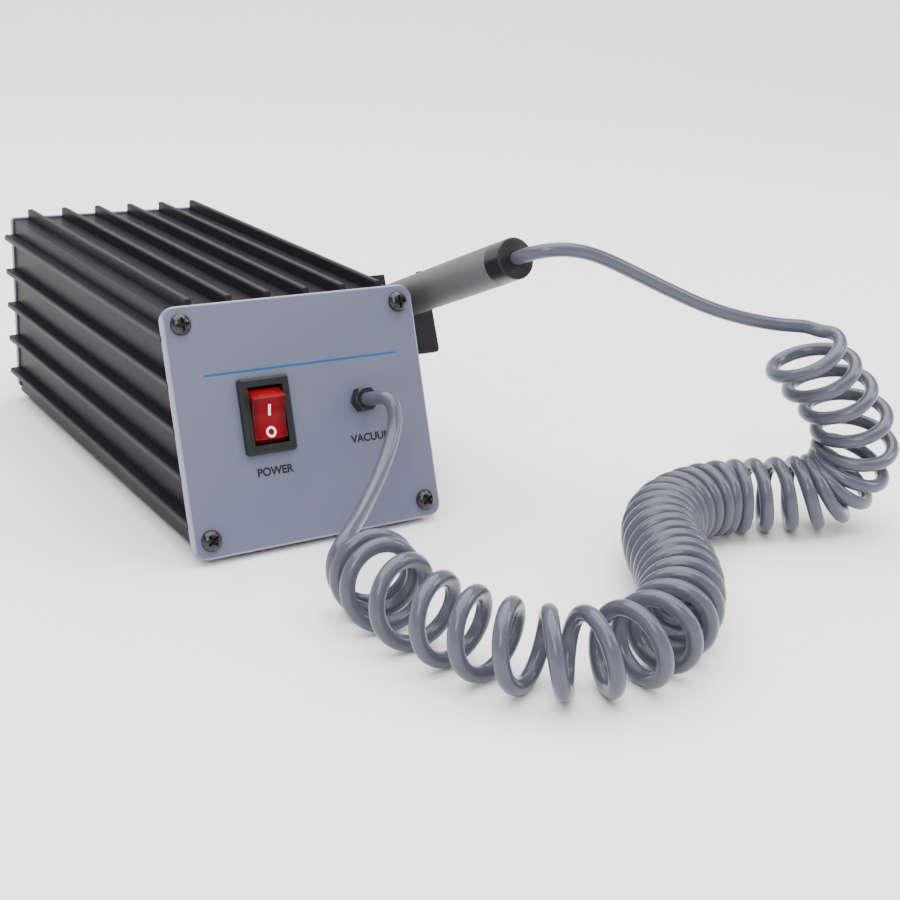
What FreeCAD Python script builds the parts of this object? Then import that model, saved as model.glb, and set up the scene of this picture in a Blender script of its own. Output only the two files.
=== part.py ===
# Bench-top vacuum pickup system: a finned pump console, a curly air hose
# and a vacuum pen that rests in a holder on the console's right side.
# Lengths are millimetres. X is to the right, the front faces -Y, Z is up.
# The shapes are worked out in console coordinates, where x = y = 0 at the
# middle of the front plate's face and the table is z = 0. Each is moved to
# the part's own origin when it is written.
import FreeCAD
import Part
import math
import os

V = FreeCAD.Vector

# Console body, a ribbed extrusion
BODY_WIDTH = 70.8
BODY_HEIGHT = 59.0
BODY_END = 149.0
BLANK_START = -40.0
WALL = 2.5
RIBS_ACROSS = 6
RIBS_UP = 5
RIB_HEIGHT = 3.4
RIB_WIDTH = 2.0
RIB_EASE = 0.4
RAIL_WIDTH = 10.5
RAIL_HEIGHT = 1.8
SCREW_BOSS = 8.5
FOOT_DIAMETER = 7.6
FOOT_STAND = 1.1
FOOT_INSET = 12.0

# Front plate
LEAN = 20.0
PLATE_SETBACK = 0.3
PLATE_TRIM = 1.0
PLATE_THICK = 2.4
PLATE_CORNER = 4.0
PLATE_EASE = 0.35
SCREW_INSET = 5.0
REAR_LIP = 0.5
REAR_CORNER = 1.2
REAR_THICK = 2.0

# Machine screws
SCREW_SHANK = 2.6
SCREW_HEAD = 5.8
HEAD_HEIGHT = 1.9
FRONT_BITE = 3.0
REAR_BITE = 8.0
SCREW_CLEARANCE = 0.05
PLATE_HOLE_CLEARANCE = 0.2

# Rocker switch
SWITCH_X = -12.65
SWITCH_V = 2.05
BEZEL_WIDTH = 15.0
BEZEL_HEIGHT = 21.0
BEZEL_RISE = 2.0
BEZEL_EASE = 0.7
SWITCH_BODY_WIDTH = 13.0
SWITCH_BODY_HEIGHT = 19.2
SWITCH_DEPTH = 13.5
SWITCH_BASE = 2.0
WINDOW_WIDTH = 10.4
WINDOW_HEIGHT = 16.0
CUTOUT_CLEARANCE = 0.1
ROCKER_WIDTH = 9.9
ROCKER_TILT = 10.0
PIVOT_DEPTH = 2.3
TRUNNION = 2.4
RUNNING = 0.05
TERMINAL_WIDTH = 4.8
TERMINAL_THICK = 0.8
TERMINAL_REACH = 7.5
LAMP_DIAMETER = 3.6
LAMP_UP = 2.2
LAMP_HEIGHT = 8.0

# Vacuum port
PORT_X = 17.4
PORT_V = 2.4
HEX_FLATS = 6.5
HEX_HEIGHT = 3.5
NIPPLE = 2.4
NIPPLE_LENGTH = 4.0
PORT_THREAD = 5.0
PORT_BORE = 1.4
NUT_FLATS = 8.0
NUT_HEIGHT = 2.5
SEAL_THICK = 0.8
INNER_BARB = 8.0

# Mains inlet in the rear plate
INLET_X = -8.0
INLET_Z = 3.0
INLET_FLANGE = (50.0, 22.6, 3.0)
INLET_BODY = (27.6, 19.8, 17.0)
INLET_SOCKET = (24.4, 16.3, 16.0)
INLET_CORNER = 4.0
INLET_SCREW_SPACING = 40.0
PIN_SIZE = (2.0, 4.0)
PIN_RECESS = 5.5
PIN_TAIL = 6.0

# Linear armature pump
PUMP_Y = 80.0
GROMMET_HEIGHT = 6.0
GROMMET_DIAMETER = 9.0
GROMMET_NECK = 5.0
GROMMET_CAP = 1.8
PUMP_SCREW = 3.0
BASE_SIDE_GAP = 3.9
BASE_LENGTH = 68.0
BASE_THICK = 1.6
GROMMET_INSET = (7.0, 6.0)
STACK = 16.0
CORE_HEIGHT = 36.0
CORE_LENGTH = 30.0
CORE_LIMB = 5.0
CENTRE_LIMB = 10.0
CORE_LIFT = 1.5
BOBBIN_FLANGE = 1.0
AIR_GAP = 1.6
MAGNET = (14.0, 4.0, 22.0)
ARM_THICK = 2.0
ARM_WIDTH = 14.0
PIVOT_PIN = 2.0
PIVOT_HEIGHT = 5.0
PIVOT_BOSS = 5.2
PIVOT_GAP = 0.4
PIN_FIT = 0.01
PIVOT_CHEEK = 2.0
ARM_ABOVE = 8.0
STUD = 4.0
STUD_REACH = 4.0
HEAD_RADIUS = 14.0
HEAD_LENGTH = 16.0
HEAD_FOOT = 16.0
HEAD_RAISE = 6.0
DIAPHRAGM_THICK = 1.0
DIAPHRAGM_ROLL = (5.0, 8.5)
ROLL_DEPTH = 1.4
RIM_WIDTH = 5.2
CLAMP_THICK = 2.0
CLAMP_SCREW = 2.0
CLAMP_BITE = 4.0
CLAMP_HEAD = 3.6
CLAMP_HEAD_HEIGHT = 1.2
CLAMP_INSET = 2.6
BARB_LENGTH = 6.0
MUFFLER = (13.0, 12.0)
INNER_TUBE = 4.0
BARB = 3.6
PORT_BARB = 3.2
BARB_FIT = 0.02
TUBE_GAP = 0.6
TUBE_STRAIGHT = 14.0
TUBE_END_GAP = 2.0
TUBE_BENDS = [(3.0, 16.0, 6.0), (0.0, 30.0, 2.0)]
TUBE_BACK = (-0.3, 22.0, 1.0)

# Pen, along its own axis from the hose end to the tip
PEN_DIAMETER = 12.0
PEN_WALL = 1.0
PEN_TILT = 23.4
PEN_X = 52.0
PEN_END_Y = -21.8
PEN_END_Z = 79.4
CAP_DIAMETER = 11.9
CAP_LENGTH = 7.2
CAP_PLUG = 8.0
CAP_EASE = 0.5
HOSE_HOLE_CLEARANCE = 0.05
HOSE_HOLE_DEPTH = 5.0
BODY_TUBE_END = 126.0
VALVE_START = 104.0
VALVE_LENGTH = 18.0
VALVE_FIT = 0.03
BUTTON_AT = 113.0
BUTTON_DIAMETER = 6.0
BUTTON_RISE = 1.8
BUTTON_TRAVEL = 1.2
BUTTON_DEPTH = 8.0
AIR_WAY = 1.6
SPRING_DIAMETER = 4.0
SPRING_WIRE = 0.5
SPRING_TURNS = 4
NOSE_LENGTH = 16.0
NOSE_PLUG = 3.8
NOSE_TIP = 4.2
PROBE_DIAMETER = 1.8
PROBE_BORE = 1.0
PROBE_STRAIGHT = 12.0
PROBE_BEND = 45.0
PROBE_BEND_RADIUS = 5.0
PROBE_END = 5.0
CUP_DIAMETER = 7.0
CUP_HEIGHT = 5.0
CUP_SLEEVE = 3.2

# Pen holder, a folded bracket with two forked ears
HOLDER_THICK = 1.5
HOLDER_AT = 62.0
HOLDER_LENGTH = 38.0
HOLDER_REACH = 22.2
HOLDER_BELOW = 18.0
HOLDER_ABOVE = 8.0
HOLDER_CORNER = 1.4
PEN_SLACK = 0.15
LIP = 1.3
HOLDER_SCREW_Y = (44.0, 62.0)

# Curly air hose
HOSE = 4.0
COIL = 22.6
LEAD_STRAIGHT = 4.7
PORT_LEAD = [
    (18.6, -11.5, 40.6), (19.2, -14.5, 38.2), (17.8, -17.3, 33.4), (13.8, -21.3, 29.2),
    (8.2, -26.7, 25.1), (1.2, -33.3, 22.1), (-5.9, -40.1, 19.9), (-12.1, -45.9, 18.9),
    (-16.5, -49.4, 17.5),
]
COIL_AXIS = [
    (-9.1, -51.9, 11.8), (-11.9, -59.5, 11.8), (-12.2, -70.5, 11.7), (-9.7, -82.5, 11.5),
    (-6.3, -92.5, 11.5), (-2.2, -102.5, 11.5), (4.5, -110.8, 11.5), (14.5, -115.4, 11.5),
    (27.5, -116.2, 11.5), (41.5, -110.0, 11.5), (53.5, -98.5, 11.5), (61.0, -87.2, 11.5),
    (67.3, -75.2, 11.5), (77.0, -63.0, 11.5), (89.5, -56.4, 11.5), (103.5, -55.3, 11.5),
    (115.5, -58.9, 11.5), (126.0, -62.9, 11.6), (135.5, -66.2, 11.8), (141.9, -67.1, 13.9),
    (146.9, -67.1, 18.7), (148.9, -66.4, 25.5), (147.2, -65.1, 32.2), (141.9, -62.8, 39.6),
    (136.0, -60.0, 46.6), (130.2, -57.2, 54.0),
]
PEN_LEAD = [
    (55.5, -30.6, 83.2), (62.0, -32.6, 83.4), (70.6, -34.0, 81.4), (81.2, -36.7, 76.5),
    (93.2, -40.0, 70.7), (104.9, -43.6, 65.4), (116.7, -47.2, 61.8), (127.5, -50.8, 59.8),
    (135.0, -53.8, 59.5), (137.6, -56.6, 58.4),
]

# Sizes that follow from the ones above
LEAN_RAD = math.radians(LEAN)
TILT_RAD = math.radians(PEN_TILT)
HALF_W = BODY_WIDTH / 2
HALF_H = BODY_HEIGHT / 2
CENTRE_Z = FOOT_STAND + RIB_HEIGHT + HALF_H
PITCH_X = BODY_WIDTH / RIBS_ACROSS
PLATE_WIDTH = BODY_WIDTH + 2 * (RIB_HEIGHT - PLATE_SETBACK)
PLATE_HEIGHT = (BODY_HEIGHT + 2 * RIB_HEIGHT) / math.cos(LEAN_RAD) - 2 * PLATE_TRIM
REAR_WIDTH = BODY_WIDTH + 2 * REAR_LIP
REAR_HEIGHT = BODY_HEIGHT + 2 * REAR_LIP
BASE_WIDTH = BODY_WIDTH - 2 * (WALL + BASE_SIDE_GAP)
PITCH_Z = BODY_HEIGHT / RIBS_UP
FLOOR_Z = CENTRE_Z - HALF_H + WALL
FRONT_SCREWS = [(sx * (PLATE_WIDTH / 2 - SCREW_INSET), sv * (PLATE_HEIGHT / 2 - SCREW_INSET))
                for sx in (-1, 1) for sv in (-1, 1)]
REAR_SCREWS = [(sx * (HALF_W - SCREW_BOSS / 2), CENTRE_Z + sz * (HALF_H - SCREW_BOSS / 2))
               for sx in (-1, 1) for sz in (-1, 1)]
REAR_FACE = BODY_END + REAR_THICK
INLET_CENTRE = V(INLET_X, REAR_FACE, CENTRE_Z + INLET_Z)
PANEL = FreeCAD.Placement(V(0, 0, CENTRE_Z), FreeCAD.Rotation(V(1, 0, 0), 90 - LEAN))
PEN_FRAME = FreeCAD.Placement(V(PEN_X, PEN_END_Y, PEN_END_Z),
                              FreeCAD.Rotation(V(1, 0, 0), -(90 + PEN_TILT)))
PEN_R = PEN_DIAMETER / 2
WALL_FACE_X = HALF_W + RIB_HEIGHT
HOLDER_OUTER_X = WALL_FACE_X + HOLDER_REACH
REARMOST = REAR_FACE + INLET_FLANGE[2] + HEAD_HEIGHT
FOREMOST = PEN_END_Y - CAP_DIAMETER / 2 * math.sin(TILT_RAD)
ORIGIN = V((HOLDER_OUTER_X - WALL_FACE_X) / 2, (REARMOST + FOREMOST) / 2, 0)
BASE_TOP = FLOOR_Z + GROMMET_HEIGHT + BASE_THICK
CORE_BOTTOM = BASE_TOP + CORE_LIFT
CORE_FRONT = PUMP_Y - CORE_LENGTH
ARM_Y = PUMP_Y + AIR_GAP + MAGNET[1]
PIVOT_Z = BASE_TOP + PIVOT_HEIGHT
HEAD_Y = ARM_Y + ARM_THICK + STUD_REACH
HEAD_Z = CORE_BOTTOM + CORE_HEIGHT / 2 + HEAD_RAISE

written = []


def write(name, shape):
    """Moves a finished shape to the part's origin and writes it as one sub-part."""
    moved = shape.copy()
    moved.translate(V(0, 0, 0) - ORIGIN)
    moved.exportStep("parts/%s.step" % name)
    written.append((name, moved))


def block(x0, x1, y0, y1, z0, z1):
    return Part.makeBox(x1 - x0, y1 - y0, z1 - z0, V(x0, y0, z0))


def rod(radius, length, at, axis):
    return Part.makeCylinder(radius, length, at, axis)


def joined(shapes):
    """Solids that meet, as one solid."""
    return shapes[0].multiFuse(shapes[1:]).removeSplitter()


def outline(start, steps, to_space):
    """A closed face: each step is a point, or (middle, end) for an arc."""
    edges = []
    here = start
    for step in steps:
        if isinstance(step[0], tuple):
            edges.append(Part.Arc(to_space(here), to_space(step[0]), to_space(step[1])).toShape())
            here = step[1]
        else:
            edges.append(Part.makeLine(to_space(here), to_space(step)))
            here = step
    edges.append(Part.makeLine(to_space(here), to_space(start)))
    return Part.Face(Part.Wire(edges))


def turned(start, steps):
    """A solid of revolution about Z from an outline in radius and height."""
    face = outline(start, steps, lambda p: V(p[0], 0, p[1]))
    return face.revolve(V(0, 0, 0), V(0, 0, 1), 360)


def hexagon(flats, height, z0):
    radius = flats / math.sqrt(3)
    points = [V(radius * math.cos(math.radians(60 * k)), radius * math.sin(math.radians(60 * k)), z0)
              for k in range(7)]
    return Part.Face(Part.makePolygon(points)).extrude(V(0, 0, height))


def rounded_slab(width, height, thick, corner, z_top):
    """A plate with rounded corners, its face up at z_top."""
    slab = Part.makeBox(width, height, thick, V(-width / 2, -height / 2, z_top - thick))
    upright = [e for e in slab.Edges if abs(e.tangentAt(e.FirstParameter).z) > 0.99]
    return slab.makeFillet(corner, upright)


def pan_screw(shank, length, head, rise):
    """A domed cross-recess screw, its head's seat at z = 0 and its shank down."""
    body = turned((0, -length), [
        (shank / 2, -length), (shank / 2, 0), (head / 2, 0), (head / 2, rise * 0.3),
        ((head * 0.38, rise * 0.78), (head * 0.2, rise)), (0, rise)])
    slot = Part.makeBox(head * 0.62, 0.7, rise, V(-head * 0.31, -0.35, rise * 0.45))
    cross = slot.copy()
    cross.rotate(V(0, 0, 0), V(0, 0, 1), 90)
    return body.cut(slot).cut(cross)


def hose_path(points):
    """Straight runs joined by tangent arcs, each as large as its two runs allow."""
    knots = [V(*p) for p in points]
    edges = []
    radii = []
    start = knots[0]
    for before, corner, after in zip(knots, knots[1:], knots[2:]):
        inward = (corner - before).normalize()
        outward = (after - corner).normalize()
        turn = inward.getAngle(outward)
        setback = 0.45 * min((corner - before).Length, (after - corner).Length)
        first = corner - inward * setback
        last = corner + outward * setback
        radius = setback / math.tan(turn / 2)
        chord = (outward - inward).normalize()
        middle = corner + chord * (radius / math.cos(turn / 2) - radius)
        edges.append(Part.makeLine(start, first))
        edges.append(Part.Arc(first, middle, last).toShape())
        radii.append(round(radius, 1))
        start = last
    edges.append(Part.makeLine(start, knots[-1]))
    return Part.Wire(edges), radii


def hose_tube(name, points, diameter):
    """A plain round tube along a route. Prints its radii and compares its volume."""
    path, radii = hose_path(points)
    heading = V(*points[1]) - V(*points[0])
    ring = Part.Wire(Part.makeCircle(diameter / 2, V(*points[0]), heading))
    tube = path.makePipeShell([ring], True, False)
    share = tube.Volume / (math.pi * diameter ** 2 / 4 * path.Length)
    print("%s: length %.1f, arc radii %s, volume share %.4f" % (name, path.Length, radii, share))
    return tube


def rib_steps(centre, base, direction, across):
    """Outline points round one rib. direction is +1 or -1 away from the body's middle."""
    half = RIB_WIDTH / 2
    tip = base + direction * RIB_HEIGHT
    ease = direction * RIB_EASE
    return [(centre - across * half, base), (centre - across * half, tip - ease),
            (centre - across * (half - RIB_EASE), tip), (centre + across * (half - RIB_EASE), tip),
            (centre + across * half, tip - ease), (centre + across * half, base)]


def housing_section():
    """The extrusion's section in X and Z: ribs outside, screw bosses in the corners inside."""
    top = [(k - (RIBS_ACROSS - 1) / 2) * PITCH_X for k in range(RIBS_ACROSS)]
    side = [(k - (RIBS_UP - 1) / 2) * PITCH_Z for k in range(RIBS_UP)]
    points = [(-HALF_W, HALF_H)]
    for x in top:
        points += rib_steps(x, HALF_H, 1, 1)
    points.append((HALF_W, HALF_H))
    for z in reversed(side):
        points += [(p[1], p[0]) for p in rib_steps(z, HALF_W, 1, -1)]
    points += [(HALF_W, -HALF_H - RAIL_HEIGHT), (HALF_W - RAIL_WIDTH, -HALF_H - RAIL_HEIGHT),
               (HALF_W - RAIL_WIDTH, -HALF_H)]
    for x in reversed(top[1:-1]):
        points += rib_steps(x, -HALF_H, -1, -1)
    points += [(-HALF_W + RAIL_WIDTH, -HALF_H), (-HALF_W + RAIL_WIDTH, -HALF_H - RAIL_HEIGHT),
               (-HALF_W, -HALF_H - RAIL_HEIGHT)]
    for z in side:
        points += [(p[1], p[0]) for p in rib_steps(z, -HALF_W, -1, 1)]
    in_w = HALF_W - WALL
    in_h = HALF_H - WALL
    boss_w = HALF_W - SCREW_BOSS
    boss_h = HALF_H - SCREW_BOSS
    cavity = [(-in_w, -boss_h), (-in_w, boss_h), (-boss_w, boss_h), (-boss_w, in_h),
              (boss_w, in_h), (boss_w, boss_h), (in_w, boss_h), (in_w, -boss_h),
              (boss_w, -boss_h), (boss_w, -in_h), (-boss_w, -in_h), (-boss_w, -boss_h)]
    outer, inner = [
        Part.Face(Part.makePolygon([V(x, BLANK_START, CENTRE_Z + z) for x, z in ring + ring[:1]]))
        for ring in (points, cavity)]
    return outer.cut(inner)


def housing():
    body = housing_section().extrude(V(0, BODY_END - BLANK_START, 0))
    front = Part.makeBox(200, 200, 100, V(-100, -100, -PLATE_THICK))
    front.Placement = PANEL
    body = body.cut(front)
    hole = SCREW_SHANK / 2 + SCREW_CLEARANCE
    for x, v in FRONT_SCREWS:
        drill = rod(hole, FRONT_BITE + 1, V(x, v, -PLATE_THICK - FRONT_BITE - 0.5), V(0, 0, 1))
        drill.Placement = PANEL
        body = body.cut(drill)
    for x, z in REAR_SCREWS:
        body = body.cut(rod(hole, REAR_BITE + 1, V(x, BODY_END + 0.5, z), V(0, -1, 0)))
    for y in HOLDER_SCREW_Y:
        body = body.cut(rod(hole, WALL + 2, V(HALF_W + 1, y, holder_screw_z()), V(-1, 0, 0)))
    for x, y in grommet_places():
        body = body.cut(rod(PUMP_SCREW / 2 + SCREW_CLEARANCE, WALL + 2, V(x, y, FLOOR_Z + 1), V(0, 0, -1)))
    return body


def holder_screw_z():
    """The holder's screws pass between two ribs of the side wall."""
    return CENTRE_Z + PITCH_Z / 2


def grommet_places():
    x = BASE_WIDTH / 2 - GROMMET_INSET[0]
    y = BASE_LENGTH / 2 - GROMMET_INSET[1]
    return [(sx * x, PUMP_Y + sy * y) for sx in (-1, 1) for sy in (-1, 1)]


def on_panel(shape):
    """From front plate coordinates, z outwards, to console coordinates."""
    shape.Placement = PANEL.multiply(shape.Placement)
    return shape


def in_pen(shape):
    """From pen coordinates, z from the hose end to the tip and y downwards."""
    shape.Placement = PEN_FRAME.multiply(shape.Placement)
    return shape


def front_plate():
    plate = rounded_slab(PLATE_WIDTH, PLATE_HEIGHT, PLATE_THICK, PLATE_CORNER, 0)
    rim = [e for e in plate.Edges if all(abs(v.Point.z) < 1e-6 for v in e.Vertexes)]
    plate = plate.makeChamfer(PLATE_EASE, rim)
    width = SWITCH_BODY_WIDTH + 2 * CUTOUT_CLEARANCE
    height = SWITCH_BODY_HEIGHT + 2 * CUTOUT_CLEARANCE
    plate = plate.cut(Part.makeBox(width, height, 2 * PLATE_THICK,
                                   V(SWITCH_X - width / 2, SWITCH_V - height / 2, -1.5 * PLATE_THICK)))
    port_hole = PORT_THREAD / 2 + SCREW_CLEARANCE
    plate = plate.cut(rod(port_hole, 2 * PLATE_THICK, V(PORT_X, PORT_V, -1.5 * PLATE_THICK), V(0, 0, 1)))
    for x, v in FRONT_SCREWS:
        hole = SCREW_SHANK / 2 + PLATE_HOLE_CLEARANCE
        plate = plate.cut(rod(hole, 2 * PLATE_THICK, V(x, v, -1.5 * PLATE_THICK), V(0, 0, 1)))
    return on_panel(plate)


def front_screws():
    screws = []
    for x, v in FRONT_SCREWS:
        screw = pan_screw(SCREW_SHANK, PLATE_THICK + FRONT_BITE, SCREW_HEAD, HEAD_HEIGHT)
        screw.rotate(V(0, 0, 0), V(0, 0, 1), 20 + 4 * x + v)
        screw.translate(V(x, v, 0))
        screws.append(on_panel(screw))
    return Part.makeCompound(screws)


def switch_housing():
    bezel = Part.makeBox(BEZEL_WIDTH, BEZEL_HEIGHT, BEZEL_RISE, V(-BEZEL_WIDTH / 2, -BEZEL_HEIGHT / 2, 0))
    rim = [e for e in bezel.Edges if all(abs(v.Point.z - BEZEL_RISE) < 1e-6 for v in e.Vertexes)]
    upright = [e for e in bezel.Edges if abs(e.tangentAt(e.FirstParameter).z) > 0.99]
    bezel = bezel.makeChamfer(BEZEL_EASE, rim + upright)
    box = Part.makeBox(SWITCH_BODY_WIDTH, SWITCH_BODY_HEIGHT, SWITCH_DEPTH,
                       V(-SWITCH_BODY_WIDTH / 2, -SWITCH_BODY_HEIGHT / 2, -SWITCH_DEPTH))
    clips = []
    for side in (-1, 1):
        edge = side * SWITCH_BODY_HEIGHT / 2
        wedge = outline((edge, -PLATE_THICK - 0.1), [(edge + side * 0.8, -PLATE_THICK - 0.6), (edge, -7.0)],
                        lambda p: V(-3.0, p[0], p[1]))
        clips.append(wedge.extrude(V(6.0, 0, 0)))
    body = joined([bezel, box] + clips)
    window = Part.makeBox(WINDOW_WIDTH, WINDOW_HEIGHT, SWITCH_DEPTH + BEZEL_RISE - SWITCH_BASE + 1,
                          V(-WINDOW_WIDTH / 2, -WINDOW_HEIGHT / 2, SWITCH_BASE - SWITCH_DEPTH))
    body = body.cut(window)
    body = body.cut(rod(TRUNNION / 2 + RUNNING, SWITCH_BODY_WIDTH - 0.6,
                        V(-SWITCH_BODY_WIDTH / 2 + 0.3, 0, -PIVOT_DEPTH), V(1, 0, 0)))
    for v in terminal_places():
        body = body.cut(terminal(v, RUNNING))
    body.translate(V(SWITCH_X, SWITCH_V, 0))
    return on_panel(body)


def terminal_places():
    return [-6.2, 0.0, 6.2]


def terminal(v, grow):
    """A blade through the switch's base, its flat across the switch."""
    width = TERMINAL_WIDTH + 2 * grow
    thick = TERMINAL_THICK + 2 * grow
    top = SWITCH_BASE - SWITCH_DEPTH + 1.2
    return Part.makeBox(width, thick, TERMINAL_REACH + SWITCH_BASE + 1.2 + grow,
                        V(-width / 2, v - thick / 2, top - TERMINAL_REACH - SWITCH_BASE - 1.2 - grow))


def switch_terminals():
    blades = []
    for v in terminal_places():
        blade = terminal(v, 0)
        blade.translate(V(SWITCH_X, SWITCH_V, 0))
        blades.append(on_panel(blade))
    return Part.makeCompound(blades)


def switch_lamp():
    radius = LAMP_DIAMETER / 2
    lamp = turned((0, 0), [(radius, 0), (radius, LAMP_HEIGHT - radius),
                           ((radius * 0.75, LAMP_HEIGHT - radius * 0.34), (radius * 0.2, LAMP_HEIGHT)),
                           (0, LAMP_HEIGHT)])
    lamp.translate(V(SWITCH_X, SWITCH_V + LAMP_UP, SWITCH_BASE - SWITCH_DEPTH))
    return on_panel(lamp)


def rocker():
    """The rocker, drawn level about its pivot and then tipped so that its top stands proud."""
    to_space = lambda p: V(-ROCKER_WIDTH / 2, p[0], p[1])
    face = outline((-5.7, 5.6), [((0, 4.6), (5.7, 5.6)), (7.6, 1.6), (6.4, -3.2), (-6.4, -3.2), (-7.6, 1.6)],
                   to_space)
    body = face.extrude(V(ROCKER_WIDTH, 0, 0))
    ends = [e for e in body.Edges
            if len(e.Vertexes) == 2 and all(v.Point.z > 1.0 for v in e.Vertexes)]
    body = body.makeFillet(0.45, ends)
    body = body.cut(Part.makeBox(ROCKER_WIDTH - 2.6, 9.6, 6.2, V(1.3 - ROCKER_WIDTH / 2, -4.8, -3.4)))
    reach = ROCKER_WIDTH / 2 + 0.9
    pins = [rod(TRUNNION / 2, reach - ROCKER_WIDTH / 2 + 1.0, V(s * (ROCKER_WIDTH / 2 - 1.0), 0, 0), V(s, 0, 0))
            for s in (-1, 1)]
    body = joined([body] + pins)
    body.rotate(V(0, 0, 0), V(1, 0, 0), ROCKER_TILT)
    body.translate(V(SWITCH_X, SWITCH_V, -PIVOT_DEPTH))
    return on_panel(body)


def port_fitting():
    """Hexagonal bulkhead nipple: hose nipple outside, thread and barb inside."""
    stem = turned((PORT_BORE / 2, HEX_HEIGHT + NIPPLE_LENGTH), [
        (PORT_BORE / 2, -PLATE_THICK - NUT_HEIGHT - SEAL_THICK - INNER_BARB),
        (1.3, -PLATE_THICK - NUT_HEIGHT - SEAL_THICK - INNER_BARB),
        (PORT_BARB / 2, -PLATE_THICK - NUT_HEIGHT - SEAL_THICK - INNER_BARB + 2.0),
        (1.2, -PLATE_THICK - NUT_HEIGHT - SEAL_THICK - INNER_BARB + 2.2),
        (1.2, -PLATE_THICK - NUT_HEIGHT - SEAL_THICK - 1.0),
        (PORT_THREAD / 2, -PLATE_THICK - NUT_HEIGHT - SEAL_THICK - 1.0),
        (PORT_THREAD / 2, 0.5), (NIPPLE / 2, 0.5), (NIPPLE / 2, HEX_HEIGHT + NIPPLE_LENGTH)])
    nut = hexagon(HEX_FLATS, HEX_HEIGHT, 0).cut(rod(PORT_BORE / 2, HEX_HEIGHT, V(0, 0, 0), V(0, 0, 1)))
    crown = turned((0, -0.1), [(HEX_FLATS / 2 + 0.1, -0.1), (HEX_FLATS / 2 + 0.9, 0.4),
                               (HEX_FLATS / 2 + 0.9, HEX_HEIGHT - 0.7),
                               (HEX_FLATS / 2 - 0.1, HEX_HEIGHT + 0.01), (0, HEX_HEIGHT + 0.01)])
    fitting = joined([nut.common(crown), stem])
    fitting.translate(V(PORT_X, PORT_V, 0))
    return on_panel(fitting)


def port_nut():
    nut = hexagon(NUT_FLATS, NUT_HEIGHT, -PLATE_THICK - SEAL_THICK - NUT_HEIGHT)
    nut = nut.cut(rod(PORT_THREAD / 2 + SCREW_CLEARANCE, 20, V(0, 0, -15), V(0, 0, 1)))
    nut.translate(V(PORT_X, PORT_V, 0))
    return on_panel(nut)


def port_seal():
    seal = rod(NUT_FLATS / 2, SEAL_THICK, V(PORT_X, PORT_V, -PLATE_THICK - SEAL_THICK), V(0, 0, 1))
    seal = seal.cut(rod(PORT_THREAD / 2 + SCREW_CLEARANCE, 20, V(PORT_X, PORT_V, -15), V(0, 0, 1)))
    return on_panel(seal)


def rear_plate():
    plate = rounded_slab(REAR_WIDTH, REAR_HEIGHT, REAR_THICK, REAR_CORNER, 0)
    plate.rotate(V(0, 0, 0), V(1, 0, 0), 90)
    plate.translate(V(0, BODY_END, CENTRE_Z))
    for x, z in REAR_SCREWS:
        plate = plate.cut(rod(SCREW_SHANK / 2 + PLATE_HOLE_CLEARANCE, 10, V(x, BODY_END - 4, z), V(0, 1, 0)))
    width = INLET_BODY[0] / 2 + CUTOUT_CLEARANCE
    height = INLET_BODY[1] / 2 + CUTOUT_CLEARANCE
    c = INLET_CENTRE
    plate = plate.cut(block(c.x - width, c.x + width, BODY_END - 1, REAR_FACE + 1, c.z - height, c.z + height))
    for x in inlet_screw_places():
        plate = plate.cut(rod(SCREW_SHANK / 2 + PLATE_HOLE_CLEARANCE, 10, V(x, BODY_END - 4, c.z), V(0, 1, 0)))
    for k in range(-2, 3):
        plate = plate.cut(rod(1.2, 10, V(k * 5.0, BODY_END - 4, CENTRE_Z - HALF_H + 9.0), V(0, 1, 0)))
    return plate


def inlet_screw_places():
    return [INLET_X - INLET_SCREW_SPACING / 2, INLET_X + INLET_SCREW_SPACING / 2]


def facing_back(shape, at, z):
    """Turns a shape that looks up +Z so that it looks out of the rear, +Y."""
    shape.rotate(V(0, 0, 0), V(1, 0, 0), -90)
    shape.translate(V(at, REAR_FACE, z))
    return shape


def rear_screws():
    return Part.makeCompound([
        facing_back(pan_screw(SCREW_SHANK, REAR_THICK + REAR_BITE, SCREW_HEAD, HEAD_HEIGHT), x, z)
        for x, z in REAR_SCREWS])


def inlet_outline(width, height, corner, y):
    """The inlet's socket shape: a rectangle whose two lower corners are cut away."""
    c = INLET_CENTRE
    points = [(-width / 2, height / 2), (width / 2, height / 2), (width / 2, -height / 2 + corner),
              (width / 2 - corner, -height / 2), (-width / 2 + corner, -height / 2),
              (-width / 2, -height / 2 + corner)]
    return Part.Face(Part.makePolygon([V(c.x + px, y, c.z + pz) for px, pz in points + points[:1]]))


def mains_inlet():
    c = INLET_CENTRE
    flange = rounded_slab(INLET_FLANGE[0], INLET_FLANGE[1], INLET_FLANGE[2], 6.0, INLET_FLANGE[2])
    for side in (-1, 1):
        flange = flange.cut(rod(SCREW_SHANK / 2 + PLATE_HOLE_CLEARANCE, 10,
                                V(side * INLET_SCREW_SPACING / 2, 0, -2), V(0, 0, 1)))
    flange = facing_back(flange, c.x, c.z)
    body = block(c.x - INLET_BODY[0] / 2, c.x + INLET_BODY[0] / 2, REAR_FACE - INLET_BODY[2],
                 REAR_FACE + 1, c.z - INLET_BODY[1] / 2, c.z + INLET_BODY[1] / 2)
    inlet = joined([flange, body])
    mouth = REAR_FACE + INLET_FLANGE[2]
    socket = inlet_outline(INLET_SOCKET[0], INLET_SOCKET[1], INLET_CORNER, mouth - INLET_SOCKET[2])
    inlet = inlet.cut(socket.extrude(V(0, INLET_SOCKET[2] + 1, 0)))
    for pin in inlet_pin_solids(RUNNING):
        inlet = inlet.cut(pin)
    return inlet


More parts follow.
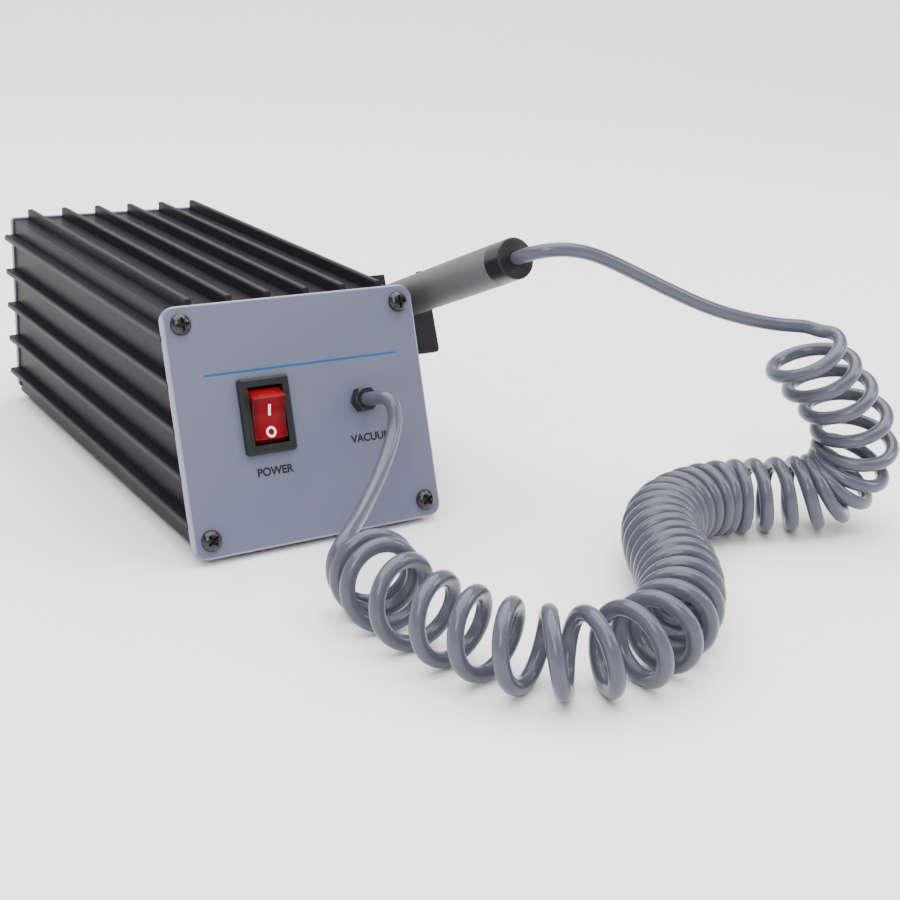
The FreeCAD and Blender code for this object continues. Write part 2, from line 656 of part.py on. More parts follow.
def inlet_pin_solids(grow):
    c = INLET_CENTRE
    front = REAR_FACE + INLET_FLANGE[2] - PIN_RECESS
    back = REAR_FACE - INLET_BODY[2] - PIN_TAIL
    pins = []
    for x, z in ((-7.0, -2.0), (0.0, 2.0), (7.0, -2.0)):
        pins.append(block(c.x + x - PIN_SIZE[0] / 2 - grow, c.x + x + PIN_SIZE[0] / 2 + grow, back, front,
                          c.z + z - PIN_SIZE[1] / 2 - grow, c.z + z + PIN_SIZE[1] / 2 + grow))
    return pins


def inlet_screws():
    c = INLET_CENTRE
    screws = []
    for x in inlet_screw_places():
        screw = pan_screw(SCREW_SHANK, INLET_FLANGE[2] + REAR_THICK + 3.0, SCREW_HEAD - 0.4, HEAD_HEIGHT)
        screw = facing_back(screw, x, c.z)
        screw.translate(V(0, INLET_FLANGE[2], 0))
        screws.append(screw)
    return Part.makeCompound(screws)


def feet():
    """Rubber pads under the two rails of the body, along the rails' inner edges."""
    height = FOOT_STAND + RIB_HEIGHT - RAIL_HEIGHT
    radius = FOOT_DIAMETER / 2
    pads = []
    for sx in (-1, 1):
        for y in (FOOT_INSET, BODY_END - FOOT_INSET):
            pad = turned((0, 0), [(radius - 0.8, 0), ((radius - 0.25, 0.25), (radius, 0.8)),
                                  (radius, height), (0, height)])
            pad.translate(V(sx * (HALF_W - RAIL_WIDTH + radius), y, 0))
            pads.append(pad)
    return Part.makeCompound(pads)


def pump_base():
    """Folded steel plate that carries the pump, with two cheeks for the arm's pivot."""
    x = BASE_WIDTH / 2
    y = BASE_LENGTH / 2
    plate = block(-x, x, PUMP_Y - y, PUMP_Y + y, BASE_TOP - BASE_THICK, BASE_TOP)
    cheeks = []
    inside = ARM_WIDTH / 2 + PIVOT_GAP
    for s in (-1, 1):
        x0, x1 = sorted((s * inside, s * (inside + PIVOT_CHEEK)))
        cheek = block(x0, x1, ARM_Y - 3, ARM_Y + ARM_THICK + 3, BASE_TOP - 0.2, PIVOT_Z + 3.5)
        cheeks.append(cheek)
    base = joined([plate] + cheeks)
    base = base.cut(rod(PIVOT_PIN / 2 + PIN_FIT, BASE_WIDTH, V(-x, ARM_Y + ARM_THICK / 2, PIVOT_Z), V(1, 0, 0)))
    for px, py in grommet_places():
        base = base.cut(rod(GROMMET_NECK / 2 + 0.1, 10, V(px, py, BASE_TOP - 5), V(0, 0, 1)))
    return base


def pump_grommets():
    pads = []
    r = GROMMET_DIAMETER / 2
    neck = GROMMET_NECK / 2
    bore = PUMP_SCREW / 2 + SCREW_CLEARANCE
    seat = GROMMET_HEIGHT
    cap = seat + BASE_THICK
    for x, y in grommet_places():
        pad = turned((bore, 0), [(r, 0), (r - 0.6, seat * 0.5), (r, seat), (neck, seat), (neck, cap),
                                 (r - 0.5, cap), (r - 0.5, cap + GROMMET_CAP), (bore, cap + GROMMET_CAP)])
        pad.translate(V(x, y, FLOOR_Z))
        pads.append(pad)
    return Part.makeCompound(pads)


def pump_screws():
    seat = BASE_TOP + GROMMET_CAP
    screws = []
    for x, y in grommet_places():
        screw = pan_screw(PUMP_SCREW, seat - FLOOR_Z + WALL - 0.2, SCREW_HEAD, HEAD_HEIGHT)
        screw.translate(V(x, y, seat))
        screws.append(screw)
    return Part.makeCompound(screws)


def pump_core():
    """E-shaped lamination stack, its three limbs towards the magnet, on two short legs."""
    half = STACK / 2
    top = CORE_BOTTOM + CORE_HEIGHT
    core = block(-half, half, CORE_FRONT, PUMP_Y, CORE_BOTTOM, top)
    middle = CORE_BOTTOM + CORE_HEIGHT / 2
    low = block(-half - 1, half + 1, CORE_FRONT + CORE_LIMB, PUMP_Y + 1,
                CORE_BOTTOM + CORE_LIMB, middle - CENTRE_LIMB / 2)
    high = block(-half - 1, half + 1, CORE_FRONT + CORE_LIMB, PUMP_Y + 1,
                 middle + CENTRE_LIMB / 2, top - CORE_LIMB)
    core = core.cut(low).cut(high)
    legs = [block(-half, half, y, y + 4, BASE_TOP, CORE_BOTTOM + 0.2) for y in (CORE_FRONT, PUMP_Y - 6)]
    return joined([core] + legs)


def pump_coil():
    """Winding on a flanged bobbin round the middle limb."""
    middle = CORE_BOTTOM + CORE_HEIGHT / 2
    y0 = CORE_FRONT + CORE_LIMB + 0.3
    y1 = PUMP_Y - 1.5
    deep = CORE_HEIGHT / 2 - CORE_LIMB - 0.4
    wide = STACK / 2 + deep - CENTRE_LIMB / 2
    spool = [block(-wide, wide, y, y + BOBBIN_FLANGE, middle - deep, middle + deep)
             for y in (y0, y1 - BOBBIN_FLANGE)]
    winding = block(-wide + 1, wide - 1, y0, y1, middle - deep + 1, middle + deep - 1)
    edges = [e for e in winding.Edges if abs(e.tangentAt(e.FirstParameter).y) > 0.99]
    winding = winding.makeFillet(3.0, edges)
    coil = joined(spool + [winding])
    half_x = STACK / 2 + 0.1
    half_z = CENTRE_LIMB / 2 + 0.1
    return coil.cut(block(-half_x, half_x, y0 - 1, y1 + 1, middle - half_z, middle + half_z))


def pump_armature():
    """Upright swinging arm with a boss for its pin and a stud for the diaphragm."""
    half = ARM_WIDTH / 2
    y = ARM_Y + ARM_THICK / 2
    blade = block(-half, half, ARM_Y, ARM_Y + ARM_THICK, PIVOT_Z, HEAD_Z + ARM_ABOVE)
    boss = rod(PIVOT_BOSS / 2, ARM_WIDTH, V(-half, y, PIVOT_Z), V(1, 0, 0))
    root = ARM_THICK / 10
    stud = rod(STUD / 2, STUD_REACH + root, V(0, ARM_Y + ARM_THICK - root, HEAD_Z), V(0, 1, 0))
    arm = joined([blade, boss, stud])
    return arm.cut(rod(PIVOT_PIN / 2 + RUNNING, ARM_WIDTH + 2, V(-half - 1, y, PIVOT_Z), V(1, 0, 0)))


def pump_magnet():
    middle = CORE_BOTTOM + CORE_HEIGHT / 2
    return block(-MAGNET[0] / 2, MAGNET[0] / 2, ARM_Y - MAGNET[1], ARM_Y,
                 middle - MAGNET[2] / 2, middle + MAGNET[2] / 2)


def pivot_pin():
    reach = ARM_WIDTH / 2 + PIVOT_GAP + PIVOT_CHEEK
    return rod(PIVOT_PIN / 2, 2 * reach, V(-reach, ARM_Y + ARM_THICK / 2, PIVOT_Z), V(1, 0, 0))


def pump_diaphragm():
    """Rubber disc with a rolled ring between its clamped rim and its centre."""
    r = HEAD_RADIUS - 0.5
    inner, outer = DIAPHRAGM_ROLL
    middle = (inner + outer) / 2
    back = DIAPHRAGM_THICK
    disc = turned((0, 0), [(inner, 0), ((middle, -ROLL_DEPTH), (outer, 0)), (r, 0), (r, back), (outer, back),
                           ((middle, back - ROLL_DEPTH), (inner, back)), (0, back)])
    disc.rotate(V(0, 0, 0), V(1, 0, 0), -90)
    disc.translate(V(0, HEAD_Y, HEAD_Z))
    return disc


def clamp_screw_places():
    spread = HEAD_RADIUS - CLAMP_INSET
    return [(spread * math.cos(math.radians(a)), HEAD_Z + spread * math.sin(math.radians(a)))
            for a in (45, 135, 225, 315)]


def clamp_screw_hole(x, z):
    reach = CLAMP_THICK + DIAPHRAGM_THICK + CLAMP_BITE + CLAMP_SCREW / 4
    radius = CLAMP_SCREW / 2 + SCREW_CLEARANCE
    return rod(radius, reach + CLAMP_THICK, V(x, HEAD_Y - 2 * CLAMP_THICK, z), V(0, 1, 0))


def diaphragm_clamp():
    ring = rod(HEAD_RADIUS, CLAMP_THICK, V(0, HEAD_Y - CLAMP_THICK, HEAD_Z), V(0, 1, 0))
    ring = ring.cut(rod(HEAD_RADIUS - RIM_WIDTH, 3 * CLAMP_THICK, V(0, HEAD_Y - 2 * CLAMP_THICK, HEAD_Z), V(0, 1, 0)))
    for x, z in clamp_screw_places():
        ring = ring.cut(clamp_screw_hole(x, z))
    return ring


def clamp_screws():
    screws = []
    for x, z in clamp_screw_places():
        screw = pan_screw(CLAMP_SCREW, CLAMP_THICK + DIAPHRAGM_THICK + CLAMP_BITE, CLAMP_HEAD, CLAMP_HEAD_HEIGHT)
        screw.rotate(V(0, 0, 0), V(1, 0, 0), 90)
        screw.translate(V(x, HEAD_Y - CLAMP_THICK, z))
        screws.append(screw)
    return Part.makeCompound(screws)


def pump_head():
    """Valve block: a round chamber on a foot, with a hose barb on each side."""
    back = HEAD_Y + DIAPHRAGM_THICK
    drum = rod(HEAD_RADIUS, HEAD_LENGTH, V(0, back, HEAD_Z), V(0, 1, 0))
    foot = block(-HEAD_FOOT / 2, HEAD_FOOT / 2, back, back + HEAD_LENGTH, BASE_TOP, HEAD_Z - HEAD_RADIUS + 4)
    parts = [drum, foot]
    for s in (-1, 1):
        barb = turned((0, 0), [(BARB / 2, 0), (BARB / 2, 1.5), (1.25, 1.5), (1.25, 4.5), (1.7, 4.8),
                               (1.2, BARB_LENGTH + 1.0), (0, BARB_LENGTH + 1.0)])
        barb.rotate(V(0, 0, 0), V(0, 1, 0), s * 90)
        barb.translate(V(s * (HEAD_RADIUS - 1.0), barb_y(), HEAD_Z))
        parts.append(barb)
    head = joined(parts)
    head = head.cut(rod(HEAD_RADIUS - RIM_WIDTH, 4.0, V(0, back - 0.1, HEAD_Z), V(0, 1, 0)))
    head = head.cut(rod(0.7, 4 * HEAD_RADIUS, V(-2 * HEAD_RADIUS, barb_y(), HEAD_Z), V(1, 0, 0)))
    for x, z in clamp_screw_places():
        head = head.cut(clamp_screw_hole(x, z))
    return head


def barb_y():
    return HEAD_Y + DIAPHRAGM_THICK + HEAD_LENGTH / 2


def pump_diaphragm_holes(disc):
    for x, z in clamp_screw_places():
        disc = disc.cut(clamp_screw_hole(x, z))
    return disc


def exhaust_muffler():
    """Sintered plug on the exhaust barb."""
    start = -HEAD_RADIUS - 0.6
    body = rod(MUFFLER[0] / 2, MUFFLER[1], V(start, barb_y(), HEAD_Z), V(-1, 0, 0))
    return body.cut(rod(1.85, BARB_LENGTH + 1.0, V(start + 0.5, barb_y(), HEAD_Z), V(-1, 0, 0)))


def inner_tube():
    """Clear tube from the port's inner barb to the pump's inlet barb."""
    back = -PLATE_THICK - NUT_HEIGHT - SEAL_THICK - TUBE_END_GAP
    start = PANEL.multVec(V(PORT_X, PORT_V, back))
    inward = PANEL.Rotation.multVec(V(0, 0, -1))
    second = start + inward * TUBE_STRAIGHT
    start_x = HEAD_RADIUS + TUBE_END_GAP / 2
    lane = HALF_W - WALL - INNER_TUBE / 2 - TUBE_GAP
    points = [tuple(start), tuple(second)]
    for inside, past, below in TUBE_BENDS:
        points.append((lane - inside, second.y + past, HEAD_Z - below))
    inside, before, below = TUBE_BACK
    points.append((lane - inside, barb_y() - before, HEAD_Z - below))
    points += [(lane, barb_y(), HEAD_Z), (start_x, barb_y(), HEAD_Z)]
    tube = hose_tube("inner_tube", points, INNER_TUBE)
    port_bore = rod(PORT_BARB / 2 + BARB_FIT, INNER_BARB + 1, start - inward * 0.5, inward)
    head_bore = rod(BARB / 2 + BARB_FIT, BARB_LENGTH + 1.5, V(start_x - 0.5, barb_y(), HEAD_Z), V(1, 0, 0))
    return tube.cut(port_bore).cut(head_bore)


def pen_holder():
    """Folded sheet bracket: a base along the side wall and two forked ears."""
    wall_x = WALL_FACE_X - PEN_X
    tip_x = wall_x + HOLDER_REACH
    slot = PEN_R + PEN_SLACK
    base = block(wall_x, wall_x + HOLDER_THICK, -HOLDER_ABOVE, HOLDER_BELOW,
                 HOLDER_AT, HOLDER_AT + HOLDER_LENGTH)
    pieces = [base]
    for z in (HOLDER_AT, HOLDER_AT + HOLDER_LENGTH - HOLDER_THICK):
        ear = block(wall_x, tip_x, -HOLDER_ABOVE, HOLDER_BELOW, z, z + HOLDER_THICK)
        corners = [e for e in ear.Edges if abs(e.tangentAt(e.FirstParameter).z) > 0.99
                   and e.Vertexes[0].Point.x > tip_x - 0.1]
        ear = ear.makeFillet(HOLDER_CORNER, corners)
        ear = ear.cut(rod(slot, 10, V(0, 0, z - 4), V(0, 0, 1)))
        ear = ear.cut(block(-slot, slot, -HOLDER_ABOVE - 1, 0, z - 4, z + 6))
        pieces.append(ear)
    lip = block(wall_x, tip_x - HOLDER_CORNER, HOLDER_BELOW - 1.2, HOLDER_BELOW, HOLDER_AT - LIP, HOLDER_AT + 0.2)
    holder = joined(pieces + [lip])
    holder = in_pen(holder)
    for y in HOLDER_SCREW_Y:
        holder = holder.cut(rod(SCREW_SHANK / 2 + PLATE_HOLE_CLEARANCE, 30,
                                V(WALL_FACE_X - 5, y, holder_screw_z()), V(1, 0, 0)))
    return holder


def holder_screws():
    screws = []
    for y in HOLDER_SCREW_Y:
        screw = pan_screw(SCREW_SHANK, HOLDER_THICK + RIB_HEIGHT + WALL, SCREW_HEAD, HEAD_HEIGHT)
        screw.rotate(V(0, 0, 0), V(0, 1, 0), 90)
        screw.translate(V(WALL_FACE_X + HOLDER_THICK, y, holder_screw_z()))
        screws.append(screw)
    return Part.makeCompound(screws)


def pen_end_cap():
    """Turned black cap: flush with the tube, plugged into it, drilled for the hose."""
    r = CAP_DIAMETER / 2
    plug = PEN_R - PEN_WALL - VALVE_FIT
    hole = HOSE / 2 + HOSE_HOLE_CLEARANCE
    cap = turned((hole, 0), [
        (r - CAP_EASE, 0), ((r - CAP_EASE * 0.29, CAP_EASE * 0.29), (r, CAP_EASE)), (r, CAP_LENGTH),
        (plug, CAP_LENGTH), (plug, CAP_LENGTH + CAP_PLUG), (AIR_WAY / 2, CAP_LENGTH + CAP_PLUG),
        (AIR_WAY / 2, HOSE_HOLE_DEPTH), (hole, HOSE_HOLE_DEPTH)])
    return in_pen(cap)


def pen_body():
    tube = turned((PEN_R - PEN_WALL, CAP_LENGTH), [
        (PEN_R, CAP_LENGTH), (PEN_R, BODY_TUBE_END), (PEN_R - PEN_WALL, BODY_TUBE_END)])
    return in_pen(tube.cut(rod(BUTTON_DIAMETER / 2 + 2 * RUNNING, PEN_R + 2, V(0, 0, BUTTON_AT), V(0, -1, 0))))


def button_floor():
    """Depth of the button's bore below the pen's axis."""
    return BUTTON_DEPTH - PEN_R


def pen_valve():
    """Round insert with the air way and the button's bore."""
    r = PEN_R - PEN_WALL - VALVE_FIT
    valve = rod(r, VALVE_LENGTH, V(0, 0, VALVE_START), V(0, 0, 1))
    valve = valve.cut(rod(BUTTON_DIAMETER / 2 + RUNNING, PEN_R + button_floor(),
                          V(0, button_floor(), BUTTON_AT), V(0, -1, 0)))
    return in_pen(valve.cut(rod(AIR_WAY / 2, VALVE_LENGTH + 2, V(0, button_floor() - 1.0, VALVE_START - 1),
                                V(0, 0, 1))))


def button_top():
    """The button's foot lies this far above the pen's axis at rest."""
    return BUTTON_DEPTH - PEN_R - spring_length()


def spring_length():
    return 3.4


def pen_button():
    """Domed push button with a groove for its seal."""
    r = BUTTON_DIAMETER / 2
    height = PEN_R + BUTTON_RISE + button_floor() - spring_length()
    groove = 2.2
    button = turned((0, 0), [(r, 0), (r, 1.0), (groove, 1.0), (groove, 2.0), (r, 2.0), (r, height - 0.7),
                             ((r * 0.62, height - 0.15), (r * 0.2, height)), (0, height)])
    button.rotate(V(0, 0, 0), V(1, 0, 0), 90)
    button.translate(V(0, button_floor() - spring_length(), BUTTON_AT))
    return in_pen(button)


def button_seal():
    ring = Part.makeTorus(2.6, 0.4, V(0, 0, 0), V(0, 0, 1))
    ring.rotate(V(0, 0, 0), V(1, 0, 0), 90)
    ring.translate(V(0, button_floor() - spring_length() - 1.5, BUTTON_AT))
    return in_pen(ring)


def button_spring():
    """Return spring under the button, its turns joined as flat rings on a helix."""
    rise = spring_length() - SPRING_WIRE
    helix = Part.makeHelix(rise / SPRING_TURNS, rise, SPRING_DIAMETER / 2 - SPRING_WIRE / 2)
    start = V(SPRING_DIAMETER / 2 - SPRING_WIRE / 2, 0, 0)
    ring = Part.Wire(Part.makeCircle(SPRING_WIRE / 2, start, V(0, 1, 0)))
    spring = Part.Wire(helix.Edges).makePipeShell([ring], True, True)
    spring.translate(V(0, 0, SPRING_WIRE / 2))
    spring.rotate(V(0, 0, 0), V(1, 0, 0), 90)
    spring.translate(V(0, button_floor(), BUTTON_AT))
    return in_pen(spring)


def pen_nose():
    """Black cone with a plug into the tube and a bore for the probe."""
    start = BODY_TUBE_END
    plug = PEN_R - PEN_WALL - VALVE_FIT
    end = start + NOSE_LENGTH
    nose = turned((PROBE_DIAMETER / 2 + 0.01, start - NOSE_PLUG), [
        (plug, start - NOSE_PLUG), (plug, start), (PEN_R - 0.1, start), (PEN_R - 0.1, start + 1.5),
        ((PEN_R - 1.3, start + NOSE_LENGTH * 0.45), (NOSE_TIP / 2, end - 1.0)), (NOSE_TIP / 2, end),
        (PROBE_DIAMETER / 2 + 0.01, end)])
    return in_pen(nose)


def probe_points():
    """Start, bend and end of the bent probe, in pen coordinates."""
    start = BODY_TUBE_END
    bend = BODY_TUBE_END + NOSE_LENGTH + PROBE_STRAIGHT
    turn = math.radians(PROBE_BEND)
    setback = PROBE_BEND_RADIUS * math.tan(turn / 2)
    first = V(0, 0, bend)
    corner = V(0, 0, bend + setback)
    heading = V(0, math.sin(turn), math.cos(turn))
    last = corner + heading * setback
    inner = (heading - V(0, 0, 1)).normalize()
    middle = corner + inner * (PROBE_BEND_RADIUS / math.cos(turn / 2) - PROBE_BEND_RADIUS)
    return V(0, 0, start), first, middle, last, last + heading * PROBE_END, heading


def probe_tube():
    start, first, middle, last, end, heading = probe_points()
    path = Part.Wire([Part.makeLine(start, first), Part.Arc(first, middle, last).toShape(),
                      Part.makeLine(last, end)])
    outer = path.makePipeShell([Part.Wire(Part.makeCircle(PROBE_DIAMETER / 2, start, V(0, 0, 1)))], True, False)
    inner = path.makePipeShell([Part.Wire(Part.makeCircle(PROBE_BORE / 2, start, V(0, 0, 1)))], True, False)
    return in_pen(outer.cut(inner))


def suction_cup():
    """Soft bell on the probe's end."""
    start, first, middle, last, end, heading = probe_points()
    r = CUP_DIAMETER / 2
    bore = PROBE_DIAMETER / 2 + 0.01
    cup = turned((bore, 0), [
        (CUP_SLEEVE / 2, 0), (CUP_SLEEVE / 2, CUP_HEIGHT * 0.4),
        ((r * 0.62, CUP_HEIGHT * 0.66), (r, CUP_HEIGHT)), (r - 0.5, CUP_HEIGHT),
        ((r * 0.5, CUP_HEIGHT * 0.72), (bore, CUP_HEIGHT * 0.62))])
    cup.rotate(V(0, 0, 0), V(1, 0, 0), -PROBE_BEND)
    cup.translate(end - heading * CUP_HEIGHT * 0.55)
    return in_pen(cup)


def hose_coil():
    return hose_tube("hose_coil", COIL_AXIS, COIL)


def hose_lead_port(coil):
    """Lead from the port's nut, pushed over the nipple, to the winding's near end."""
    start = PANEL.multVec(V(PORT_X, PORT_V, HEX_HEIGHT))
    outward = PANEL.Rotation.multVec(V(0, 0, 1))
    straight = start + outward * LEAD_STRAIGHT
    lead = hose_tube("hose_lead_port", [tuple(start), tuple(straight)] + PORT_LEAD, HOSE)
    return lead.cut(rod(NIPPLE / 2, NIPPLE_LENGTH, start, outward)).cut(coil)


def hose_lead_pen(coil):
    """Lead from the bottom of the end cap's hole to the winding's upright end."""
    start = PEN_FRAME.multVec(V(0, 0, HOSE_HOLE_DEPTH - HOSE_HOLE_CLEARANCE))
    straight = PEN_FRAME.multVec(V(0, 0, -LEAD_STRAIGHT))
    lead = hose_tube("hose_lead_pen", [tuple(start), tuple(straight)] + PEN_LEAD, HOSE)
    return lead.cut(coil)


os.makedirs("parts", exist_ok=True)
write("housing", housing())
write("front_plate", front_plate())
write("front_screws", front_screws())
write("rear_plate", rear_plate())
write("rear_screws", rear_screws())
write("feet", feet())
write("switch_housing", switch_housing())
write("rocker", rocker())
write("switch_terminals", switch_terminals())
write("switch_lamp", switch_lamp())
write("port_fitting", port_fitting())
write("port_nut", port_nut())
write("port_seal", port_seal())
write("mains_inlet", mains_inlet())
write("inlet_pins", Part.makeCompound(inlet_pin_solids(0)))
write("inlet_screws", inlet_screws())
write("pump_base", pump_base())
write("pump_grommets", pump_grommets())
write("pump_screws", pump_screws())
write("pump_core", pump_core())
write("pump_coil", pump_coil())
write("pump_armature", pump_armature())
write("pump_magnet", pump_magnet())
write("pivot_pin", pivot_pin())
write("pump_diaphragm", pump_diaphragm_holes(pump_diaphragm()))
write("diaphragm_clamp", diaphragm_clamp())
write("clamp_screws", clamp_screws())
write("pump_head", pump_head())
write("exhaust_muffler", exhaust_muffler())
write("inner_tube", inner_tube())
write("pen_holder", pen_holder())
write("holder_screws", holder_screws())
write("pen_end_cap", pen_end_cap())
write("pen_body", pen_body())
write("pen_valve", pen_valve())
write("pen_button", pen_button())
write("button_seal", button_seal())
write("button_spring", button_spring())
write("pen_nose", pen_nose())
write("probe_tube", probe_tube())
write("suction_cup", suction_cup())
coil = hose_coil()
write("hose_lead_port", hose_lead_port(coil))
write("hose_coil", coil)
write("hose_lead_pen", hose_lead_pen(coil))

low = [min(getattr(s.BoundBox, k) for n, s in written) for k in ("XMin", "YMin", "ZMin")]
high = [max(getattr(s.BoundBox, k) for n, s in written) for k in ("XMax", "YMax", "ZMax")]
print("%d sub-parts, box %s to %s" % (len(written), [round(v, 2) for v in low], [round(v, 2) for v in high]))
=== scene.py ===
import math

import bpy
import numpy as np
from mathutils import Matrix, Vector


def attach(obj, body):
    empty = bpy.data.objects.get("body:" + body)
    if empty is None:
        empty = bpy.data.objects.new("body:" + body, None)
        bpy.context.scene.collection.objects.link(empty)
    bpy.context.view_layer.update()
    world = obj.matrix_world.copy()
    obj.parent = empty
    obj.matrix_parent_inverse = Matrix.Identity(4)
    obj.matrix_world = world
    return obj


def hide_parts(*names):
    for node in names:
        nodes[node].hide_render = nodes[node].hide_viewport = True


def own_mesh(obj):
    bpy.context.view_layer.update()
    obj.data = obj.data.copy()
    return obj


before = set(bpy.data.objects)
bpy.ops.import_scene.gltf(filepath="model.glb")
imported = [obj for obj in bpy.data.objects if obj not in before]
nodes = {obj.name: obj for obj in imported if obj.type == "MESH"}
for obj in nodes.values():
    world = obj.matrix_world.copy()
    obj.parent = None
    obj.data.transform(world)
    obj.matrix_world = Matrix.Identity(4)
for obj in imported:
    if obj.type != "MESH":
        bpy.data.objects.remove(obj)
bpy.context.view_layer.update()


# The photograph's camera: in front and to the left of the console, a little
# above it. Its place was worked out in console coordinates, where x = y = 0 at
# the middle of the front plate and the table is z = 0.
CONSOLE = Vector((-0.0111, -0.065868, 0.0))


def photo_camera():
    """A camera at its place, turned by the directions that are right, up and back for it."""
    lens = bpy.data.cameras.new("photo_camera")
    lens.sensor_width = 36.0
    lens.lens = 57.55
    lens.shift_y = -0.0556
    lens.clip_start = 0.01
    lens.clip_end = 10.0
    camera = bpy.data.objects.new("photo_camera", lens)
    right = Vector((0.83838, -0.54282, 0.04968))
    up = Vector((0.12744, 0.28381, 0.95037))
    back = Vector((-0.52998, -0.79044, 0.30711))
    place = Vector((-0.178363, -0.336328, 0.163099)) + CONSOLE
    camera.matrix_world = Matrix((
        (right.x, up.x, back.x, place.x),
        (right.y, up.y, back.y, place.y),
        (right.z, up.z, back.z, place.z),
        (0.0, 0.0, 0.0, 1.0)))
    bpy.context.scene.collection.objects.link(camera)
    bpy.context.scene.camera = camera


photo_camera()


# The curly air hose: 4 mm polyurethane tube, wound hot round a rod so that it
# springs back. Two straight ends leave the winding, one to the port and one to
# the pen. Most of the winding lies on the table and its far end stands up.
HOSE = 0.004

port_lead = [
    (0.0174, -0.00247, 0.03745), (0.0174, -0.00689, 0.03906), (0.0186, -0.0115, 0.0406),
    (0.0192, -0.0145, 0.0382), (0.0178, -0.0173, 0.0334), (0.0138, -0.0213, 0.0292),
    (0.0082, -0.0267, 0.0251), (0.0012, -0.0333, 0.0221), (-0.0059, -0.0401, 0.0199),
    (-0.0121, -0.0459, 0.0189), (-0.0165, -0.0494, 0.0175),
]
coil_axis = [
    (-0.0091, -0.0519, 0.0118), (-0.0119, -0.0595, 0.0118), (-0.0122, -0.0705, 0.0117),
    (-0.0097, -0.0825, 0.0115), (-0.0063, -0.0925, 0.0115), (-0.0022, -0.1025, 0.0115),
    (0.0045, -0.1108, 0.0115), (0.0145, -0.1154, 0.0115), (0.0275, -0.1162, 0.0115),
    (0.0415, -0.1100, 0.0115), (0.0535, -0.0985, 0.0115), (0.0610, -0.0872, 0.0115),
    (0.0673, -0.0752, 0.0115), (0.0770, -0.0630, 0.0115), (0.0895, -0.0564, 0.0115),
    (0.1035, -0.0553, 0.0115), (0.1155, -0.0589, 0.0115), (0.1260, -0.0629, 0.0116),
    (0.1355, -0.0662, 0.0118), (0.1419, -0.0671, 0.0139), (0.1469, -0.0671, 0.0187),
    (0.1489, -0.0664, 0.0255), (0.1472, -0.0651, 0.0322), (0.1419, -0.0628, 0.0396),
    (0.1360, -0.0600, 0.0466), (0.1302, -0.0572, 0.0540),
]
pen_lead = [
    (0.0520, -0.01720, 0.07741), (0.0520, -0.02611, 0.08127), (0.0555, -0.0306, 0.0832),
    (0.0620, -0.0326, 0.0834), (0.0706, -0.0340, 0.0814), (0.0812, -0.0367, 0.0765),
    (0.0932, -0.0400, 0.0707), (0.1049, -0.0436, 0.0654), (0.1167, -0.0472, 0.0618),
    (0.1275, -0.0508, 0.0598), (0.1350, -0.0538, 0.0595), (0.1376, -0.0566, 0.0584),
]


def open_nurbs(name, points, radius):
    """An object with one open quadratic NURBS spline that begins and ends at its end points."""
    curve = bpy.data.curves.new(name, "CURVE")
    curve.dimensions = "3D"
    spline = curve.splines.new("NURBS")
    spline.points.add(len(points) - 1)
    for k, p in enumerate(points):
        spline.points[k].co = (*p, 1.0)
        spline.points[k].radius = radius
    spline.order_u = 3
    spline.use_endpoint_u = True
    carrier = bpy.data.objects.new(name, curve)
    bpy.context.scene.collection.objects.link(carrier)
    return carrier


def finished_mesh(carrier):
    """The mesh that a curve or a text makes. The carrier itself is taken away."""
    bpy.context.view_layer.update()
    shown = carrier.evaluated_get(bpy.context.evaluated_depsgraph_get())
    mesh = bpy.data.meshes.new_from_object(shown)
    curve = carrier.data
    bpy.data.objects.remove(carrier)
    bpy.data.curves.remove(curve)
    return mesh


def places_of(mesh):
    """The places of a mesh's vertices, one row each."""
    flat = np.zeros(len(mesh.vertices) * 3)
    mesh.vertices.foreach_get("co", flat)
    return flat.reshape(-1, 3)


def smooth_line(name, points):
    """Places along the open NURBS that has these control points."""
    carrier = open_nurbs(name, points, 1.0)
    carrier.data.resolution_u = 12
    mesh = finished_mesh(carrier)
    line = places_of(mesh)
    bpy.data.meshes.remove(mesh)
    return line


# Share of the winding's axis, turns made by then, radius of the turns. Its near
# end lies open, its middle is wound tight, and it opens again where it stands up.
WINDING = [
    (0.000, 0.15, 0.0097), (0.012, 1.0, 0.0096), (0.033, 2.0, 0.0098), (0.069, 3.0, 0.0096),
    (0.113, 4.0, 0.0093), (0.150, 5.0, 0.0091), (0.186, 6.0, 0.0092), (0.255, 8.0, 0.0091),
    (0.310, 9.5, 0.0092), (0.371, 11.5, 0.0092), (0.431, 14.0, 0.0093), (0.527, 19.0, 0.0092),
    (0.584, 22.0, 0.0093), (0.635, 24.5, 0.0091), (0.713, 28.5, 0.0093), (0.738, 29.5, 0.0093),
    (0.766, 30.5, 0.0094), (0.790, 31.5, 0.0096), (0.811, 32.5, 0.0099), (0.829, 33.5, 0.0103),
    (0.847, 34.5, 0.0108), (0.867, 35.5, 0.0111), (0.890, 36.5, 0.0110), (0.922, 37.5, 0.0110),
    (0.955, 38.5, 0.0111), (1.000, 40.0, 0.0113),
]
STEPS_PER_TURN = 16
DIRECTION_REACH = 0.012

# Turns made, and which way the turns face then. They leave the axis's own
# direction from FACING_FROM to FACING_TO, and fan out through the bend.
FACING_FROM = 26.5
FACING_TO = 28.5
FACING = [
    (28.5, 0.860, -0.510, 0.000), (30.5, 0.840, -0.520, 0.120), (32.0, 0.720, -0.500, 0.440),
    (33.5, 0.400, -0.380, 0.820), (35.0, 0.060, -0.200, 0.970), (36.5, -0.220, -0.040, 0.970),
    (38.0, -0.350, 0.080, 0.930), (40.0, -0.392, 0.112, 0.914),
]


